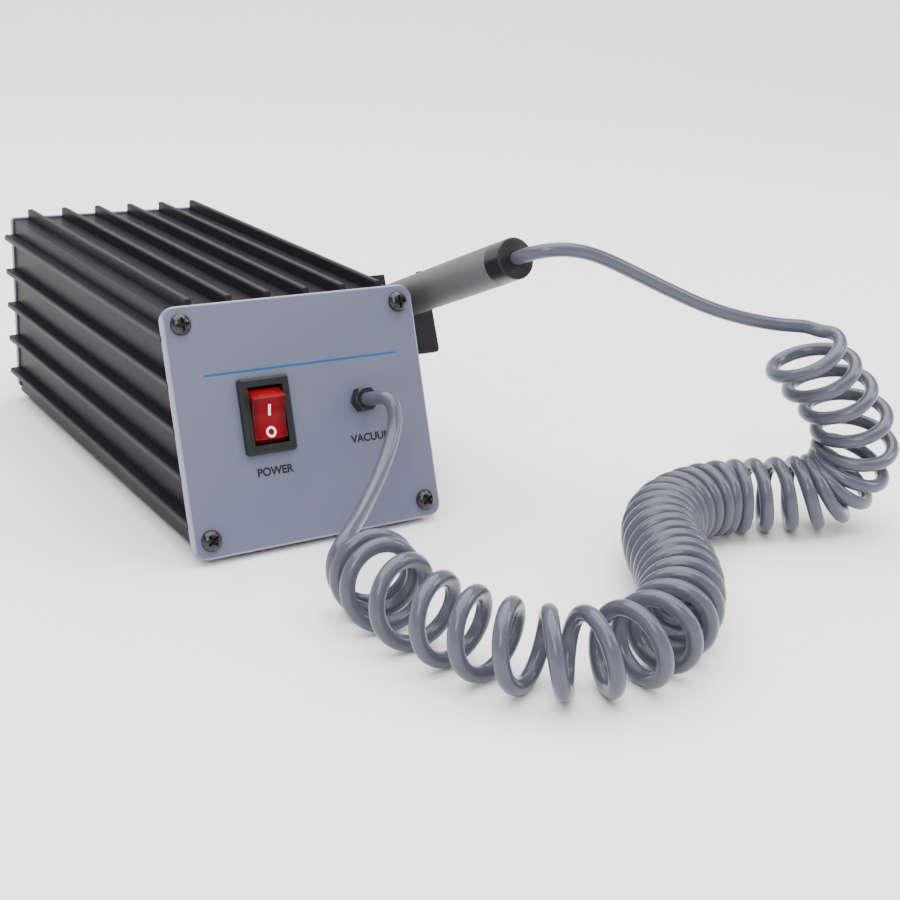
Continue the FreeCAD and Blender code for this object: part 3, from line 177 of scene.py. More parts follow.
def winding_points(axis):
    """Helix: centre(s) + radius(s) * (up cos a + side sin a), a being the turns made by s.
    Up is the vertical made square to the way the turns face, and side is square to both."""
    step = np.linalg.norm(np.diff(axis, axis=0), axis=1)
    along = np.concatenate([[0.0], np.cumsum(step)])
    share = along / along[-1]
    marks = np.array(WINDING)
    faces = np.array(FACING)
    first, last = marks[0, 1], marks[-1, 1]
    count = int((last - first) * STEPS_PER_TURN)
    points = []

    def on_axis(s):
        return np.array([np.interp(s, share, axis[:, c]) for c in range(3)])

    for k in range(count + 1):
        turn = first + (last - first) * k / count
        s = np.interp(turn, marks[:, 1], marks[:, 0])
        radius = np.interp(turn, marks[:, 1], marks[:, 2])
        ahead = on_axis(s + DIRECTION_REACH) - on_axis(s - DIRECTION_REACH)
        ahead /= np.linalg.norm(ahead)
        lean = np.interp(turn, [FACING_FROM, FACING_TO], [0.0, 1.0])
        facing = np.array([np.interp(turn, faces[:, 0], faces[:, c]) for c in (1, 2, 3)])
        facing = ahead * (1.0 - lean) + facing * lean
        facing /= np.linalg.norm(facing)
        up = np.array([0.0, 0.0, 1.0]) - facing * facing[2]
        up /= np.linalg.norm(up)
        side = np.cross(facing, up)
        angle = 2 * math.pi * turn
        points.append(on_axis(s) + radius * (up * math.cos(angle) + side * math.sin(angle)))
    return points


winding = winding_points(smooth_line("winding_axis", coil_axis))
route = [Vector(p) for p in (*port_lead[:-1], *winding, *reversed(pen_lead))]

air_hose = open_nurbs("air_hose", [p + CONSOLE for p in route], HOSE / 2)
air_hose.data.bevel_depth = 1.0
air_hose.data.bevel_resolution = 5
air_hose.data.resolution_u = 3
air_hose.data.use_fill_caps = True
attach(air_hose, "console")
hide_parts("hose_lead_port", "hose_coil", "hose_lead_pen")


class Wire:
    """One output of a shader tree. Sums, products and comparisons of wires add Math nodes."""

    def __init__(self, tree, socket=None):
        self.tree = tree
        self.socket = socket

    def node(self, kind, settings, inputs, output=0):
        """A node with its settings made first, then the value or the link of each input."""
        made = self.tree.nodes.new(kind)
        for key, value in settings.items():
            setattr(made, key, value)
        for key, value in inputs.items():
            if isinstance(value, Wire):
                self.tree.links.new(value.socket, made.inputs[key])
            else:
                made.inputs[key].default_value = value
        return Wire(self.tree, made.outputs[output])

    def math(self, operation, first, second=0.0):
        return self.node("ShaderNodeMath", {"operation": operation}, {0: first, 1: second})

    def __add__(self, other):
        return self.math("ADD", self, other)

    def __radd__(self, other):
        return self.math("ADD", other, self)

    def __sub__(self, other):
        return self.math("SUBTRACT", self, other)

    def __rsub__(self, other):
        return self.math("SUBTRACT", other, self)

    def __mul__(self, other):
        return self.math("MULTIPLY", self, other)

    def __rmul__(self, other):
        return self.math("MULTIPLY", other, self)

    def __gt__(self, other):
        return self.math("GREATER_THAN", self, other)

    def __lt__(self, other):
        return self.math("LESS_THAN", self, other)

    def __abs__(self):
        return self.math("ABSOLUTE", self)

    def root(self):
        return self.math("SQRT", self)

    def wave(self, length):
        """A sine that repeats every length of this number."""
        return self.math("SINE", self * (2 * math.pi / length))

    def smooth(self, low, high):
        """Runs from 0 at low to 1 at high, and stays there outside them."""
        inputs = {"Value": self, "From Min": low, "From Max": high}
        return self.node("ShaderNodeMapRange", {"interpolation_type": "SMOOTHSTEP"}, inputs)

    def stretched(self, scale):
        """This vector with each of its parts multiplied by one of scale."""
        return self.node("ShaderNodeVectorMath", {"operation": "MULTIPLY"}, {0: self, 1: scale})

    def part(self, axis):
        """The number of this vector along its axis X, Y or Z."""
        return self.node("ShaderNodeSeparateXYZ", {}, {"Vector": self}, output=axis)

    def noise(self, scale, detail=2.0, roughness=0.5):
        """Clouds, about scale of them in a metre."""
        inputs = {"Vector": self, "Scale": scale, "Detail": detail, "Roughness": roughness}
        return self.node("ShaderNodeTexNoise", {}, inputs)

    def cells(self, scale):
        """Distance from scattered points, about scale of them in a metre."""
        return self.node("ShaderNodeTexVoronoi", {}, {"Vector": self, "Scale": scale})

    def mixed(self, first, second):
        """Colour that is first where this mask is 0 and second where it is 1."""
        inputs = {0: self}
        for key, value in ((6, first), (7, second)):
            inputs[key] = value if isinstance(value, Wire) else (*value, 1.0)
        return self.node("ShaderNodeMix", {"data_type": "RGBA"}, inputs, output=2)


class Finish:
    """A material with one Principled shader. Constants are set on the shader's own sockets."""

    def __init__(self, name, **constants):
        self.material = bpy.data.materials.new(name)
        self.material.use_nodes = True
        self.tree = self.material.node_tree
        self.shader = self.tree.nodes["Principled BSDF"]
        for key, value in constants.items():
            self.set(key.replace("_", " ").title().replace("Ior", "IOR"), value)

    def set(self, socket, value):
        """Gives a socket of the shader a wire, a colour or a number."""
        target = self.shader.inputs[socket]
        if isinstance(value, Wire):
            self.tree.links.new(value.socket, target)
        elif isinstance(value, tuple):
            target.default_value = (*value, 1.0)
        else:
            target.default_value = value

    def place(self, centre=(0.0, 0.0, 0.0), turn=(0.0, 0.0, 0.0)):
        """Object coordinates measured from a centre, along turned axes."""
        wire = Wire(self.tree)
        spot = wire.node("ShaderNodeTexCoord", {}, {}, output="Object")
        inputs = {"Vector": spot, "Location": centre, "Rotation": turn}
        return wire.node("ShaderNodeMapping", {"vector_type": "TEXTURE"}, inputs)

    def bump(self, height, distance):
        """Relief as high as distance, in metres, where height is 1."""
        inputs = {"Height": height, "Distance": distance, "Strength": 1.0}
        self.set("Normal", height.node("ShaderNodeBump", {}, inputs))


def dress(finish, *names):
    """Gives a finish to nodes whose shape is already right."""
    for name in names:
        for slot in nodes[name].material_slots:
            slot.material = finish.material


def hose_grey():
    """Extruded polyurethane: glossy, with a haze from handling and a few scuffs."""
    finish = Finish("hose_grey", coat_weight=0.30, coat_roughness=0.06, specular_ior_level=0.25)
    spot = finish.place(centre=tuple(CONSOLE))
    haze = spot.noise(60.0, detail=3.0)
    scuff = spot.stretched((1.0, 1.0, 2.0)).noise(900.0, detail=4.0, roughness=0.7)
    scuff = scuff.smooth(0.62, 0.78)
    tone = haze.mixed((0.055, 0.060, 0.083), (0.070, 0.076, 0.102))
    finish.set("Base Color", (scuff * 0.35).mixed(tone, (0.14, 0.145, 0.18)))
    finish.set("Roughness", 0.24 + haze * 0.12 + scuff * 0.25)
    finish.bump(spot.noise(350.0, detail=2.0), 0.000015)
    return finish


air_hose.data.materials.append(hose_grey().material)


# The console body: one aluminium extrusion, black anodised, with six ribs on top
# and five on each side. It is sawn square at the back and along the front plate's
# lean, and its ribs keep the fine lines of the die.
RIB_TIP_SIDE = 0.0384
RIB_TIP_TOP = 0.0665
TIP_HIGHLIGHT = 0.0003


def black_anodised():
    """Dyed anodising: satin, with die lines along the body and a painted highlight along the rib
    tips.
    """
    finish = Finish("black_anodised", specular_ior_level=0.07)
    spot = finish.place(centre=tuple(CONSOLE))
    lines = spot.stretched((1.0, 0.012, 1.0)).noise(1600.0, detail=3.0, roughness=0.6)
    cloud = spot.noise(35.0, detail=3.0)
    grit = spot.noise(5200.0, detail=2.0)
    # Painted highlight: the crests of the side and top ribs are paler, broken up by grit.
    crest_highlight = (abs(spot.part("X")) - RIB_TIP_SIDE).smooth(0.0, TIP_HIGHLIGHT)
    crest_highlight = crest_highlight + (spot.part("Z") - RIB_TIP_TOP).smooth(0.0, TIP_HIGHLIGHT)
    tone = cloud.mixed((0.012, 0.011, 0.014), (0.018, 0.017, 0.021))
    tone = (crest_highlight * 0.5 * grit).mixed(tone, (0.050, 0.048, 0.055))
    finish.set("Base Color", tone)
    finish.set("Roughness", 0.30 + lines * 0.16 + cloud * 0.08)
    finish.bump(lines * 0.7 + grit * 0.3, 0.000018)
    return finish


dress(black_anodised(), "housing")


# The front plate: 2.4 mm aluminium with rounded corners, painted grey-blue and
# printed with a blue rule and the words under the switch and the port. It leans
# back 20 degrees, held by four screws.
PANEL_LEAN = math.radians(20.0)
PANEL_TURN = (math.pi / 2 - PANEL_LEAN, 0.0, 0.0)
PANEL_HEIGHT = 0.034
PANEL = CONSOLE + Vector((0.0, 0.0, PANEL_HEIGHT))
ACROSS = np.array([1.0, 0.0, 0.0])
UPWARD = np.array([0.0, math.sin(PANEL_LEAN), math.cos(PANEL_LEAN)])
OUTWARD = np.array([0.0, -math.cos(PANEL_LEAN), math.sin(PANEL_LEAN)])
PLATE_HALF_WIDTH = 0.0385
PLATE_HALF_HEIGHT = 0.034
EDGE_HIGHLIGHT = 0.0007
EDGE_FADE = 0.0004


def on_panel(x, v, rise):
    """Places on the front plate: x across it, v up it and rise out of its face."""
    flat = [np.asarray(a, float)[..., None] for a in np.broadcast_arrays(x, v, rise)]
    return np.array(PANEL) + flat[0] * ACROSS + flat[1] * UPWARD + flat[2] * OUTWARD


def mesh_over(name, grid, finish, closed=False):
    """A mesh over a grid of places, rows by columns. closed joins each row's end to its start."""
    rows, columns = grid.shape[:2]
    index = np.arange(rows * columns).reshape(rows, columns)
    if closed:
        index = np.concatenate([index, index[:, :1]], axis=1)
    corners = [index[:-1, :-1], index[1:, :-1], index[1:, 1:], index[:-1, 1:]]
    faces = np.stack([c.ravel() for c in corners], axis=1)
    mesh = bpy.data.meshes.new(name)
    mesh.vertices.add(rows * columns)
    mesh.vertices.foreach_set("co", grid.reshape(-1).astype(np.float32))
    mesh.loops.add(faces.size)
    mesh.loops.foreach_set("vertex_index", faces.ravel().astype(np.int32))
    mesh.polygons.add(len(faces))
    mesh.polygons.foreach_set("loop_start", np.arange(0, faces.size, 4, dtype=np.int32))
    mesh.polygons.foreach_set("use_smooth", np.ones(len(faces), dtype=bool))
    mesh.update(calc_edges=True)
    mesh.validate()
    piece = bpy.data.objects.new(name, mesh)
    bpy.context.scene.collection.objects.link(piece)
    mesh.materials.append(finish.material)
    return piece


def plate_grey(name, front):
    """Baked enamel with a fine orange peel, and a painted highlight along the front plate's
    edges.
    """
    finish = Finish(name, coat_weight=0.15, coat_roughness=0.25)
    spot = finish.place(centre=tuple(PANEL), turn=PANEL_TURN)
    peel = spot.noise(1500.0, detail=2.0)
    cloud = spot.noise(28.0, detail=3.0)
    tone = cloud.mixed((0.088, 0.098, 0.152), (0.100, 0.111, 0.170))
    if front:
        # Painted highlight: a paler band along the front plate's edges, broken up by noise.
        across = abs(spot.part("X")) - (PLATE_HALF_WIDTH - EDGE_HIGHLIGHT)
        upward = abs(spot.part("Y")) - (PLATE_HALF_HEIGHT - EDGE_HIGHLIGHT)
        edge = across.smooth(0.0, EDGE_FADE) + upward.smooth(0.0, EDGE_FADE)
        edge = edge * (0.6 + 0.4 * spot.noise(400.0, detail=3.0))
        tone = (edge * 0.75).mixed(tone, (0.30, 0.32, 0.41))
    finish.set("Base Color", tone)
    finish.set("Roughness", 0.40 + peel * 0.14)
    finish.bump(peel, 0.00003)
    return finish


dress(plate_grey("plate_grey", True), "front_plate")

RULE_LEFT = -0.0291
RULE_RIGHT = 0.0308
RULE_LEVEL = 0.01465
RULE_WIDTH = 0.00062
INK = 0.00003
LABEL_SIZE = 0.0031
LABEL_BOLD = 0.00011
POWER_PLACE = (-0.0122, -0.0144)
VACUUM_PLACE = (0.0189, -0.0094)


def rule_blue():
    """Screen-printed blue ink with a slightly uneven film."""
    finish = Finish("rule_blue", roughness=0.34)
    spot = finish.place(centre=tuple(PANEL), turn=PANEL_TURN)
    film = spot.noise(2400.0, detail=3.0)
    finish.set("Base Color", film.mixed((0.0, 0.052, 0.185), (0.001, 0.072, 0.240)))
    finish.bump(film, 0.000008)
    return finish


def printed_rule():
    """A low bank of ink: rise = film * (1 - across^4), drawn out to square ends."""
    along = np.linspace(RULE_LEFT, RULE_RIGHT, 61)[:, None]
    across = np.linspace(-1.0, 1.0, 9)[None, :]
    middle = (RULE_RIGHT + RULE_LEFT) / 2
    half = (RULE_RIGHT - RULE_LEFT) / 2
    end = np.clip(half - np.abs(along - middle), 0, INK) / INK
    rise = INK * (1.0 - across ** 4) * end
    grid = on_panel(along + 0 * across, RULE_LEVEL + across * RULE_WIDTH / 2, rise)
    rule = mesh_over("blue_rule", grid, rule_blue())
    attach(rule, "console")


def ink_black():
    """Screen-printed black ink."""
    finish = Finish("ink_black", specular_ior_level=0.3)
    film = finish.place(centre=tuple(PANEL), turn=PANEL_TURN).noise(2400.0, detail=3.0)
    finish.set("Base Color", film.mixed((0.006, 0.006, 0.007), (0.014, 0.014, 0.015)))
    finish.set("Roughness", 0.4 + film * 0.15)
    return finish


def printed_label(name, word, x, v, finish):
    """A word in flat ink, its middle at x and its foot at v on the front plate."""
    letters = bpy.data.curves.new(name, "FONT")
    letters.body = word
    letters.size = LABEL_SIZE
    letters.offset = LABEL_BOLD
    letters.extrude = INK / 2
    letters.align_x = "CENTER"
    carrier = bpy.data.objects.new(name, letters)
    bpy.context.scene.collection.objects.link(carrier)
    mesh = finished_mesh(carrier)
    flat = places_of(mesh)
    placed = on_panel(x + flat[:, 0], v + flat[:, 1], INK / 2 + flat[:, 2])
    mesh.vertices.foreach_set("co", placed.reshape(-1))
    mesh.update()
    mesh.materials.append(finish.material)
    label = bpy.data.objects.new(name, mesh)
    bpy.context.scene.collection.objects.link(label)
    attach(label, "console")


printed_rule()
black_ink = ink_black()
printed_label("label_power", "POWER", *POWER_PLACE, black_ink)
printed_label("label_vacuum", "VACUUM", *VACUUM_PLACE, black_ink)


# The rear plate: 2 mm sheet in the same paint, with a window for the inlet, a
# row of vents over the pump and four screws into the body's channels.
dress(plate_grey("plate_pale", False), "rear_plate")


# The screws: steel pan heads with a cross recess, black oxide and oil. They hold
# both plates to the body's channels, the holder to its side and the inlet.
def screw_black():
    """Black oxide with an oiled shine. The driver has rubbed the recess."""
    finish = Finish("screw_black", specular_ior_level=0.4, coat_weight=0.15, coat_roughness=0.1)
    spot = finish.place(centre=tuple(CONSOLE))
    oil = spot.noise(800.0, detail=3.0)
    finish.set("Base Color", oil.mixed((0.004, 0.004, 0.005), (0.011, 0.011, 0.012)))
    finish.set("Roughness", 0.20 + oil * 0.16)
    finish.bump(spot.noise(3000.0), 0.000012)
    return finish


dress(screw_black(), "front_screws", "rear_screws", "inlet_screws", "holder_screws")


# The power switch: a snap-in rocker in a black nylon frame. The red rocker is
# clear plastic over a neon lamp, so that its top glows, and plated terminals
# stand out of the frame's back.
SWITCH_X = -0.01265
SWITCH_V = 0.00205
PIVOT_DEPTH = 0.0023
ROCKER_REST = math.radians(10.0)
ROCKER_TURN = (PANEL_TURN[0] + ROCKER_REST, 0.0, 0.0)
ROCKER_PIVOT = Vector(on_panel(SWITCH_X, SWITCH_V, -PIVOT_DEPTH))
FACE_TOP = 0.0056
FACE_SIDE = 0.0049
BAR_LOW = 0.0006
BAR_HIGH = 0.0037
BAR_HALF = 0.00036
RING_LEVEL = -0.0039
RING_RADIUS = 0.00118
RING_HALF = 0.0003
PAINT_FLOOR = 0.003


def switch_black():
    """Moulded nylon with a fine spark-eroded texture."""
    finish = Finish("switch_black", specular_ior_level=0.25)
    spot = finish.place(centre=tuple(PANEL), turn=PANEL_TURN)
    grain = spot.noise(4200.0, detail=3.0)
    finish.set("Base Color", grain.mixed((0.006, 0.007, 0.007), (0.013, 0.014, 0.014)))
    finish.set("Roughness", 0.36 + grain * 0.18)
    finish.bump(grain, 0.00003)
    return finish


def switch_red():
    """Clear red plastic lit from behind. A white bar and ring for on and off fill its face."""
    finish = Finish("switch_red", roughness=0.2, specular_ior_level=0.15, emission_strength=0.14)
    spot = finish.place(centre=tuple(ROCKER_PIVOT), turn=ROCKER_TURN)
    x, y, z = (spot.part(axis) for axis in "XYZ")
    bar = (abs(x) < BAR_HALF) * (y > BAR_LOW) * (y < BAR_HIGH)
    reach = (x * x + (y - RING_LEVEL) * (y - RING_LEVEL)).root()
    ring = abs(reach - RING_RADIUS) < RING_HALF
    paint = (bar + ring) * (z > PAINT_FLOOR)
    lit = (y - FACE_TOP).smooth(-0.0006, 0.0003)
    edge = abs(x).smooth(0.0022, FACE_SIDE)
    wave = spot.stretched((1.0, 0.25, 1.0)).noise(420.0, detail=2.0)
    depth = (1.0 - edge * 0.75) * (0.55 + wave * 0.6)
    glow = (depth * 0.45).mixed((0.02, 0.0, 0.002), (0.60, 0.002, 0.012))
    glow = (lit * 0.9).mixed(glow, (1.0, 0.020, 0.010))
    tone = depth.mixed((0.030, 0.001, 0.002), (0.160, 0.002, 0.006))
    finish.set("Base Color", paint.mixed(tone, (0.86, 0.84, 0.84)))
    finish.set("Emission Color", (paint * 0.8).mixed(glow, (0.75, 0.62, 0.62)))
    return finish


def lamp_glass():
    """A small neon bulb's glass, glowing orange inside."""
    finish = Finish("lamp_glass", roughness=0.08, coat_weight=0.4, emission_strength=1.2)
    spot = finish.place(centre=tuple(ROCKER_PIVOT), turn=ROCKER_TURN)
    flame = spot.noise(700.0, detail=2.0)
    finish.set("Base Color", flame.mixed((0.60, 0.20, 0.10), (0.75, 0.34, 0.18)))
    finish.set("Emission Color", flame.mixed((0.90, 0.12, 0.03), (1.0, 0.30, 0.08)))
    return finish


def pin_metal():
    """Nickel-plated brass, drawn along its length."""
    finish = Finish("pin_metal", metallic=1.0)
    spot = finish.place(centre=tuple(CONSOLE))
    drawn = spot.stretched((1.0, 0.05, 1.0)).noise(2600.0, detail=3.0)
    finish.set("Base Color", drawn.mixed((0.60, 0.56, 0.47), (0.74, 0.70, 0.60)))
    finish.set("Roughness", 0.22 + drawn * 0.14)
    finish.bump(drawn, 0.000012)
    return finish


nickel = pin_metal()
dress(switch_black(), "switch_housing")
dress(switch_red(), "rocker")
dress(lamp_glass(), "switch_lamp")
dress(nickel, "switch_terminals")


# The vacuum port: a turned and milled brass nipple, blackened, with its nut and
# rubber washer behind the plate and a clear tube from it to the pump.
PORT_X = 0.0174
PORT_V = 0.0024
PORT_PLACE = Vector(on_panel(PORT_X, PORT_V, 0.0))


def fitting_black():
    """Blackened brass: turned rings round its axis, brassy brown where the corners are rubbed."""
    finish = Finish("fitting_black", metallic=0.35, specular_ior_level=0.4)
    spot = finish.place(centre=tuple(PORT_PLACE), turn=PANEL_TURN)
    rings = spot.stretched((0.02, 0.02, 1.0)).noise(5200.0, detail=2.0)
    rub = spot.noise(700.0, detail=4.0, roughness=0.65).smooth(0.52, 0.70)
    finish.set("Base Color", (rub * 0.5).mixed((0.012, 0.011, 0.011), (0.075, 0.062, 0.047)))
    finish.set("Roughness", 0.26 + rings * 0.16)
    finish.bump(rings, 0.000014)
    return finish


def rubber_black():
    """Moulded black rubber: dull, with a fine dusty skin."""
    finish = Finish("rubber_black", specular_ior_level=0.3)
    spot = finish.place(centre=tuple(CONSOLE))
    dust = spot.noise(1300.0, detail=4.0, roughness=0.7)
    finish.set("Base Color", dust.mixed((0.014, 0.014, 0.015), (0.040, 0.039, 0.040)))
    finish.set("Roughness", 0.62 + dust * 0.25)
    finish.bump(dust, 0.00004)
    return finish


def clear_tube():
    """Soft clear vinyl, a little milky."""
    finish = Finish("clear_tube", roughness=0.16, transmission_weight=0.7, ior=1.45,
                    coat_weight=0.3)
    spot = finish.place(centre=tuple(CONSOLE))
    milk = spot.noise(160.0, detail=2.0)
    finish.set("Base Color", milk.mixed((0.74, 0.76, 0.76), (0.84, 0.86, 0.85)))
    finish.bump(milk, 0.00003)
    return finish


rubber = rubber_black()
dress(fitting_black(), "port_fitting")
dress(nickel, "port_nut")
dress(rubber, "port_seal")
dress(clear_tube(), "inner_tube")


# The mains inlet: a moulded three-pole socket screwed to the rear plate, with
# three plated brass pins.
def plastic_black():
    """Glossy moulded plastic with faint flow marks."""
    finish = Finish("plastic_black", specular_ior_level=0.3)
    spot = finish.place(centre=tuple(CONSOLE))
    flow = spot.noise(90.0, detail=3.0)
    grain = spot.noise(3600.0, detail=2.0)
    finish.set("Base Color", flow.mixed((0.006, 0.006, 0.007), (0.011, 0.011, 0.012)))
    finish.set("Roughness", 0.30 + flow * 0.12)
    finish.bump(grain, 0.000015)
    return finish


dress(plastic_black(), "mains_inlet")
dress(nickel, "inlet_pins")


# The feet: four small rubber pads under the body's bottom rails, set in from
# its corners.
dress(rubber, "feet")


# The pump: a linear one on rubber grommets. An E-shaped stack of steel sheets
# and a copper winding drive a magnet on a swinging arm, which works a diaphragm
# under a cast head.
SHEET_THICKNESS = 0.0005
WIRE_PITCH = 0.0004


def laminations():
    """Varnished silicon steel sheets, half a millimetre each, stacked across the core."""
    finish = Finish("laminations", metallic=0.8)
    spot = finish.place(centre=tuple(CONSOLE))
    sheets = spot.part("X").wave(SHEET_THICKNESS)
    rust = spot.noise(260.0, detail=4.0).smooth(0.5, 0.7)
    finish.set("Base Color", (rust * 0.5).mixed((0.150, 0.150, 0.155), (0.110, 0.075, 0.055)))
    finish.set("Roughness", 0.42 + sheets * 0.06 + rust * 0.2)
    finish.bump(sheets, 0.00004)
    return finish


def copper():
    """Enamelled copper wire in level turns."""
    finish = Finish("copper", metallic=0.9, coat_weight=0.4, coat_roughness=0.1)
    spot = finish.place(centre=tuple(CONSOLE))
    turns = spot.part("Y").wave(WIRE_PITCH)
    tone = spot.noise(500.0, detail=2.0)
    finish.set("Base Color", tone.mixed((0.380, 0.130, 0.055), (0.560, 0.220, 0.100)))
    finish.set("Roughness", 0.28 + tone * 0.1)
    finish.bump(turns, 0.00006)
    return finish


def steel():
    """Zinc-plated steel with a fine crystalline cloud."""
    finish = Finish("steel", metallic=1.0)
    spot = finish.place(centre=tuple(CONSOLE))
    cloud = spot.noise(240.0, detail=4.0)
    finish.set("Base Color", cloud.mixed((0.480, 0.490, 0.500), (0.620, 0.630, 0.640)))
    finish.set("Roughness", 0.28 + cloud * 0.2)
    finish.bump(spot.noise(2200.0), 0.00001)
    return finish


def ferrite():
    """Ground ceramic magnet, dark grey and slightly sparkling."""
    finish = Finish("ferrite", specular_ior_level=0.6)
    spot = finish.place(centre=tuple(CONSOLE))
    grit = spot.cells(2600.0)
    finish.set("Base Color", grit.mixed((0.035, 0.035, 0.038), (0.070, 0.070, 0.074)))
    finish.set("Roughness", 0.45 + grit * 0.2)
    finish.bump(grit, 0.00002)
    return finish


def pump_grey():
    """Die-cast alloy with a cast skin."""
    finish = Finish("pump_grey", metallic=0.7)
    spot = finish.place(centre=tuple(CONSOLE))
    cast = spot.noise(950.0, detail=4.0)
    finish.set("Base Color", cast.mixed((0.240, 0.240, 0.250), (0.340, 0.340, 0.350)))
    finish.set("Roughness", 0.42 + cast * 0.2)
    finish.bump(cast, 0.00005)
    return finish


def sintered():
    """Porous bronze made of fused beads."""
    finish = Finish("sintered", metallic=0.8)
    spot = finish.place(centre=tuple(CONSOLE))
    beads = spot.cells(2300.0)
    finish.set("Base Color", beads.mixed((0.360, 0.240, 0.110), (0.190, 0.115, 0.050)))
    finish.set("Roughness", 0.5 + beads * 0.25)
    finish.bump(1.0 - beads, 0.00012)
    return finish


plated = steel()
dress(laminations(), "pump_core")
dress(copper(), "pump_coil")
dress(plated, "pump_base", "pump_armature", "pivot_pin", "pump_screws", "clamp_screws")
dress(ferrite(), "pump_magnet")
dress(pump_grey(), "pump_head", "diaphragm_clamp")
dress(sintered(), "exhaust_muffler")
dress(rubber, "pump_grommets", "pump_diaphragm")


# The vacuum pen: a satin aluminium tube with a black turned cap where the hose
# enters, a thumb button on a spring valve, a black nose and a steel probe.
PEN_END = CONSOLE + Vector((0.052, -0.0218, 0.0794))
PEN_TILT = math.radians(23.4)
PEN_TURN = (-(math.pi / 2 + PEN_TILT), 0.0, 0.0)
PRESS = np.array([0.0, -math.sin(PEN_TILT), -math.cos(PEN_TILT)])
PEN_AHEAD = np.array([0.0, math.cos(PEN_TILT), -math.sin(PEN_TILT)])
BUTTON_AT = 0.113
SPRING_RADIUS = 0.00175
SPRING_WIRE = 0.0005
SPRING_LENGTH = 0.0034
SPRING_TURNS = 4
STEPS_PER_COIL = 24
RING_STEPS = 12
SPRING_DEPTH = 0.002
SPRING_FLOOR = PEN_END + Vector(SPRING_DEPTH * PRESS + BUTTON_AT * PEN_AHEAD)
CUT_PITCH = 0.00055
CLOSED_END = 0.00001


def pen_silver():
    """Satin-anodised tube: fine rings from polishing on a lathe, and a soft warm grey."""
    finish = Finish("pen_silver", metallic=0.15, specular_ior_level=0.35)
    spot = finish.place(centre=tuple(PEN_END), turn=PEN_TURN)
    rings = spot.stretched((0.04, 0.04, 1.0)).noise(4200.0, detail=3.0)
    grain = spot.noise(2600.0, detail=2.0)
    cloud = spot.noise(55.0, detail=2.0)
    finish.set("Base Color", cloud.mixed((0.102, 0.097, 0.099), (0.125, 0.119, 0.121)))
    finish.set("Roughness", 0.42 + rings * 0.14 + grain * 0.06)
    finish.bump(rings * 0.6 + grain * 0.4, 0.000016)
    return finish


def pen_black():
    """Turned black acetal: rings from facing on its end, and a soft shine."""
    finish = Finish("pen_black", specular_ior_level=0.3, coat_weight=0.12, coat_roughness=0.12)
    spot = finish.place(centre=tuple(PEN_END), turn=PEN_TURN)
    x, y = spot.part("X"), spot.part("Y")
    cuts = (x * x + y * y).root().wave(CUT_PITCH)
    uneven = spot.noise(700.0, detail=3.0)
    finish.set("Base Color", uneven.mixed((0.004, 0.004, 0.005), (0.009, 0.009, 0.010)))
    finish.set("Roughness", 0.26 + uneven * 0.14)
    finish.bump(cuts * 0.5 + uneven * 0.5, 0.00003)
    return finish


def stainless():
    """Drawn stainless tube, bright, with fine lines along it."""
    finish = Finish("stainless", metallic=1.0)
    spot = finish.place(centre=tuple(PEN_END), turn=PEN_TURN)
    drawn = spot.stretched((1.0, 1.0, 0.05)).noise(3800.0, detail=3.0)
    finish.set("Base Color", drawn.mixed((0.560, 0.570, 0.580), (0.680, 0.690, 0.700)))
    finish.set("Roughness", 0.18 + drawn * 0.16)
    finish.bump(drawn, 0.000008)
    return finish


def button_spring():
    """A wire on a helix: its angle and its height grow evenly from the floor to the button,
    and its first and last rings close its ends."""
    rings = np.linspace(0.0, 1.0, SPRING_TURNS * STEPS_PER_COIL + 1)
    share = np.concatenate([[0.0], rings, [1.0]])[:, None]
    thick = np.full(share.shape, SPRING_WIRE / 2)
    thick[[0, -1]] = CLOSED_END
    around = np.linspace(0.0, 2 * math.pi, RING_STEPS + 1)[None, :-1]
    turn = 2 * math.pi * SPRING_TURNS * share
    reach = SPRING_RADIUS + thick * np.cos(around)
    rise = SPRING_WIRE / 2 + (SPRING_LENGTH - SPRING_WIRE) * share + thick * np.sin(around)
    flat = [a[..., None] for a in (reach * np.cos(turn), reach * np.sin(turn), rise)]
    grid = np.array(SPRING_FLOOR) + flat[0] * ACROSS + flat[1] * PEN_AHEAD - flat[2] * PRESS
    spring = mesh_over("button_spring_wire", grid, plated, closed=True)
    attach(spring, "console")
    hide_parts("button_spring")
    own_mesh(spring)


button_spring()
dress(pen_silver(), "pen_body")
dress(pen_black(), "pen_end_cap", "pen_button", "pen_nose")
dress(stainless(), "probe_tube")
dress(nickel, "pen_valve")
dress(rubber, "button_seal", "suction_cup")


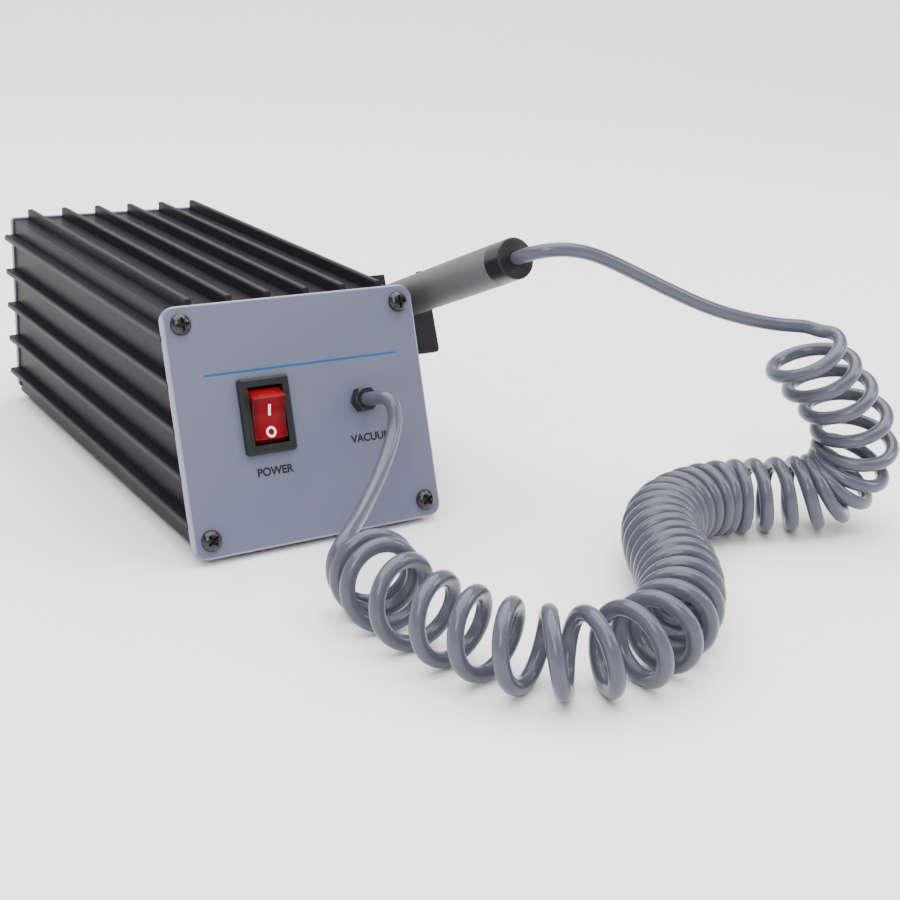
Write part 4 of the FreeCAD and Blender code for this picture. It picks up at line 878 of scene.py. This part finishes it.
# The pen holder: one folded steel strip with two forked ears, powder coated
# black and screwed to the side of the console between its ribs.
def holder_black():
    """Powder coat with a fine crinkle."""
    finish = Finish("holder_black", specular_ior_level=0.2)
    spot = finish.place(centre=tuple(CONSOLE))
    crinkle = spot.noise(1900.0, detail=3.0)
    finish.set("Base Color", crinkle.mixed((0.006, 0.006, 0.008), (0.015, 0.014, 0.017)))
    finish.set("Roughness", 0.34 + crinkle * 0.2)
    finish.bump(crinkle, 0.00004)
    return finish


dress(holder_black(), "pen_holder")


# The studio: a white table whose cloth rises all round it in one curve, and
# three soft lights, the largest overhead.
FLAT_RADIUS = 1.3
RIM_RADIUS = 3.2
TABLE_RISE = 0.45
TABLE_STEPS = 96
TABLE_RINGS = 24


def studio_floor():
    """A bowl: height = TABLE_RISE * (distance - FLAT_RADIUS)^2 round the flat middle."""
    finish = Finish("table_white", roughness=0.7)
    spot = finish.place()
    tooth = spot.noise(90.0, detail=2.0)
    finish.set("Base Color", tooth.mixed((0.88, 0.88, 0.885), (0.91, 0.91, 0.915)))
    angle = np.linspace(0.0, 2 * math.pi, TABLE_STEPS + 1)[None, :-1]
    rings = np.linspace(FLAT_RADIUS, RIM_RADIUS, TABLE_RINGS)
    out = np.concatenate([[CLOSED_END], rings])[:, None]
    height = TABLE_RISE * np.clip(out - FLAT_RADIUS, 0.0, None) ** 2
    grid = np.stack([out * np.cos(angle), out * np.sin(angle), height + 0 * angle], axis=-1)
    table = mesh_over("table", grid, finish, closed=True)


def soft_light(name, place, aim, side, power):
    """A square area light at a place, turned to face its aim."""
    light = bpy.data.lights.new(name, "AREA")
    light.shape = "SQUARE"
    light.size = side
    light.energy = power
    lamp = bpy.data.objects.new(name, light)
    bpy.context.scene.collection.objects.link(lamp)
    lamp.location = place
    lamp.rotation_euler = (Vector(aim) - Vector(place)).to_track_quat("-Z", "Y").to_euler()


studio_floor()
MIDDLE = (0.04, -0.03, 0.03)
soft_light("overhead", (0.10, 0.30, 1.60), (0.10, 0.30, 0.0), 2.6, 110.0)
soft_light("front_left", (-0.45, -0.75, 0.62), MIDDLE, 0.4, 4.5)
soft_light("right", (0.75, -0.45, 0.50), MIDDLE, 0.3, 2.5)

world = bpy.data.worlds.new("studio")
world.use_nodes = True
world.node_tree.nodes["Background"].inputs[0].default_value = (1.0, 1.0, 1.0, 1.0)
world.node_tree.nodes["Background"].inputs[1].default_value = 0.4
bpy.context.scene.world = world
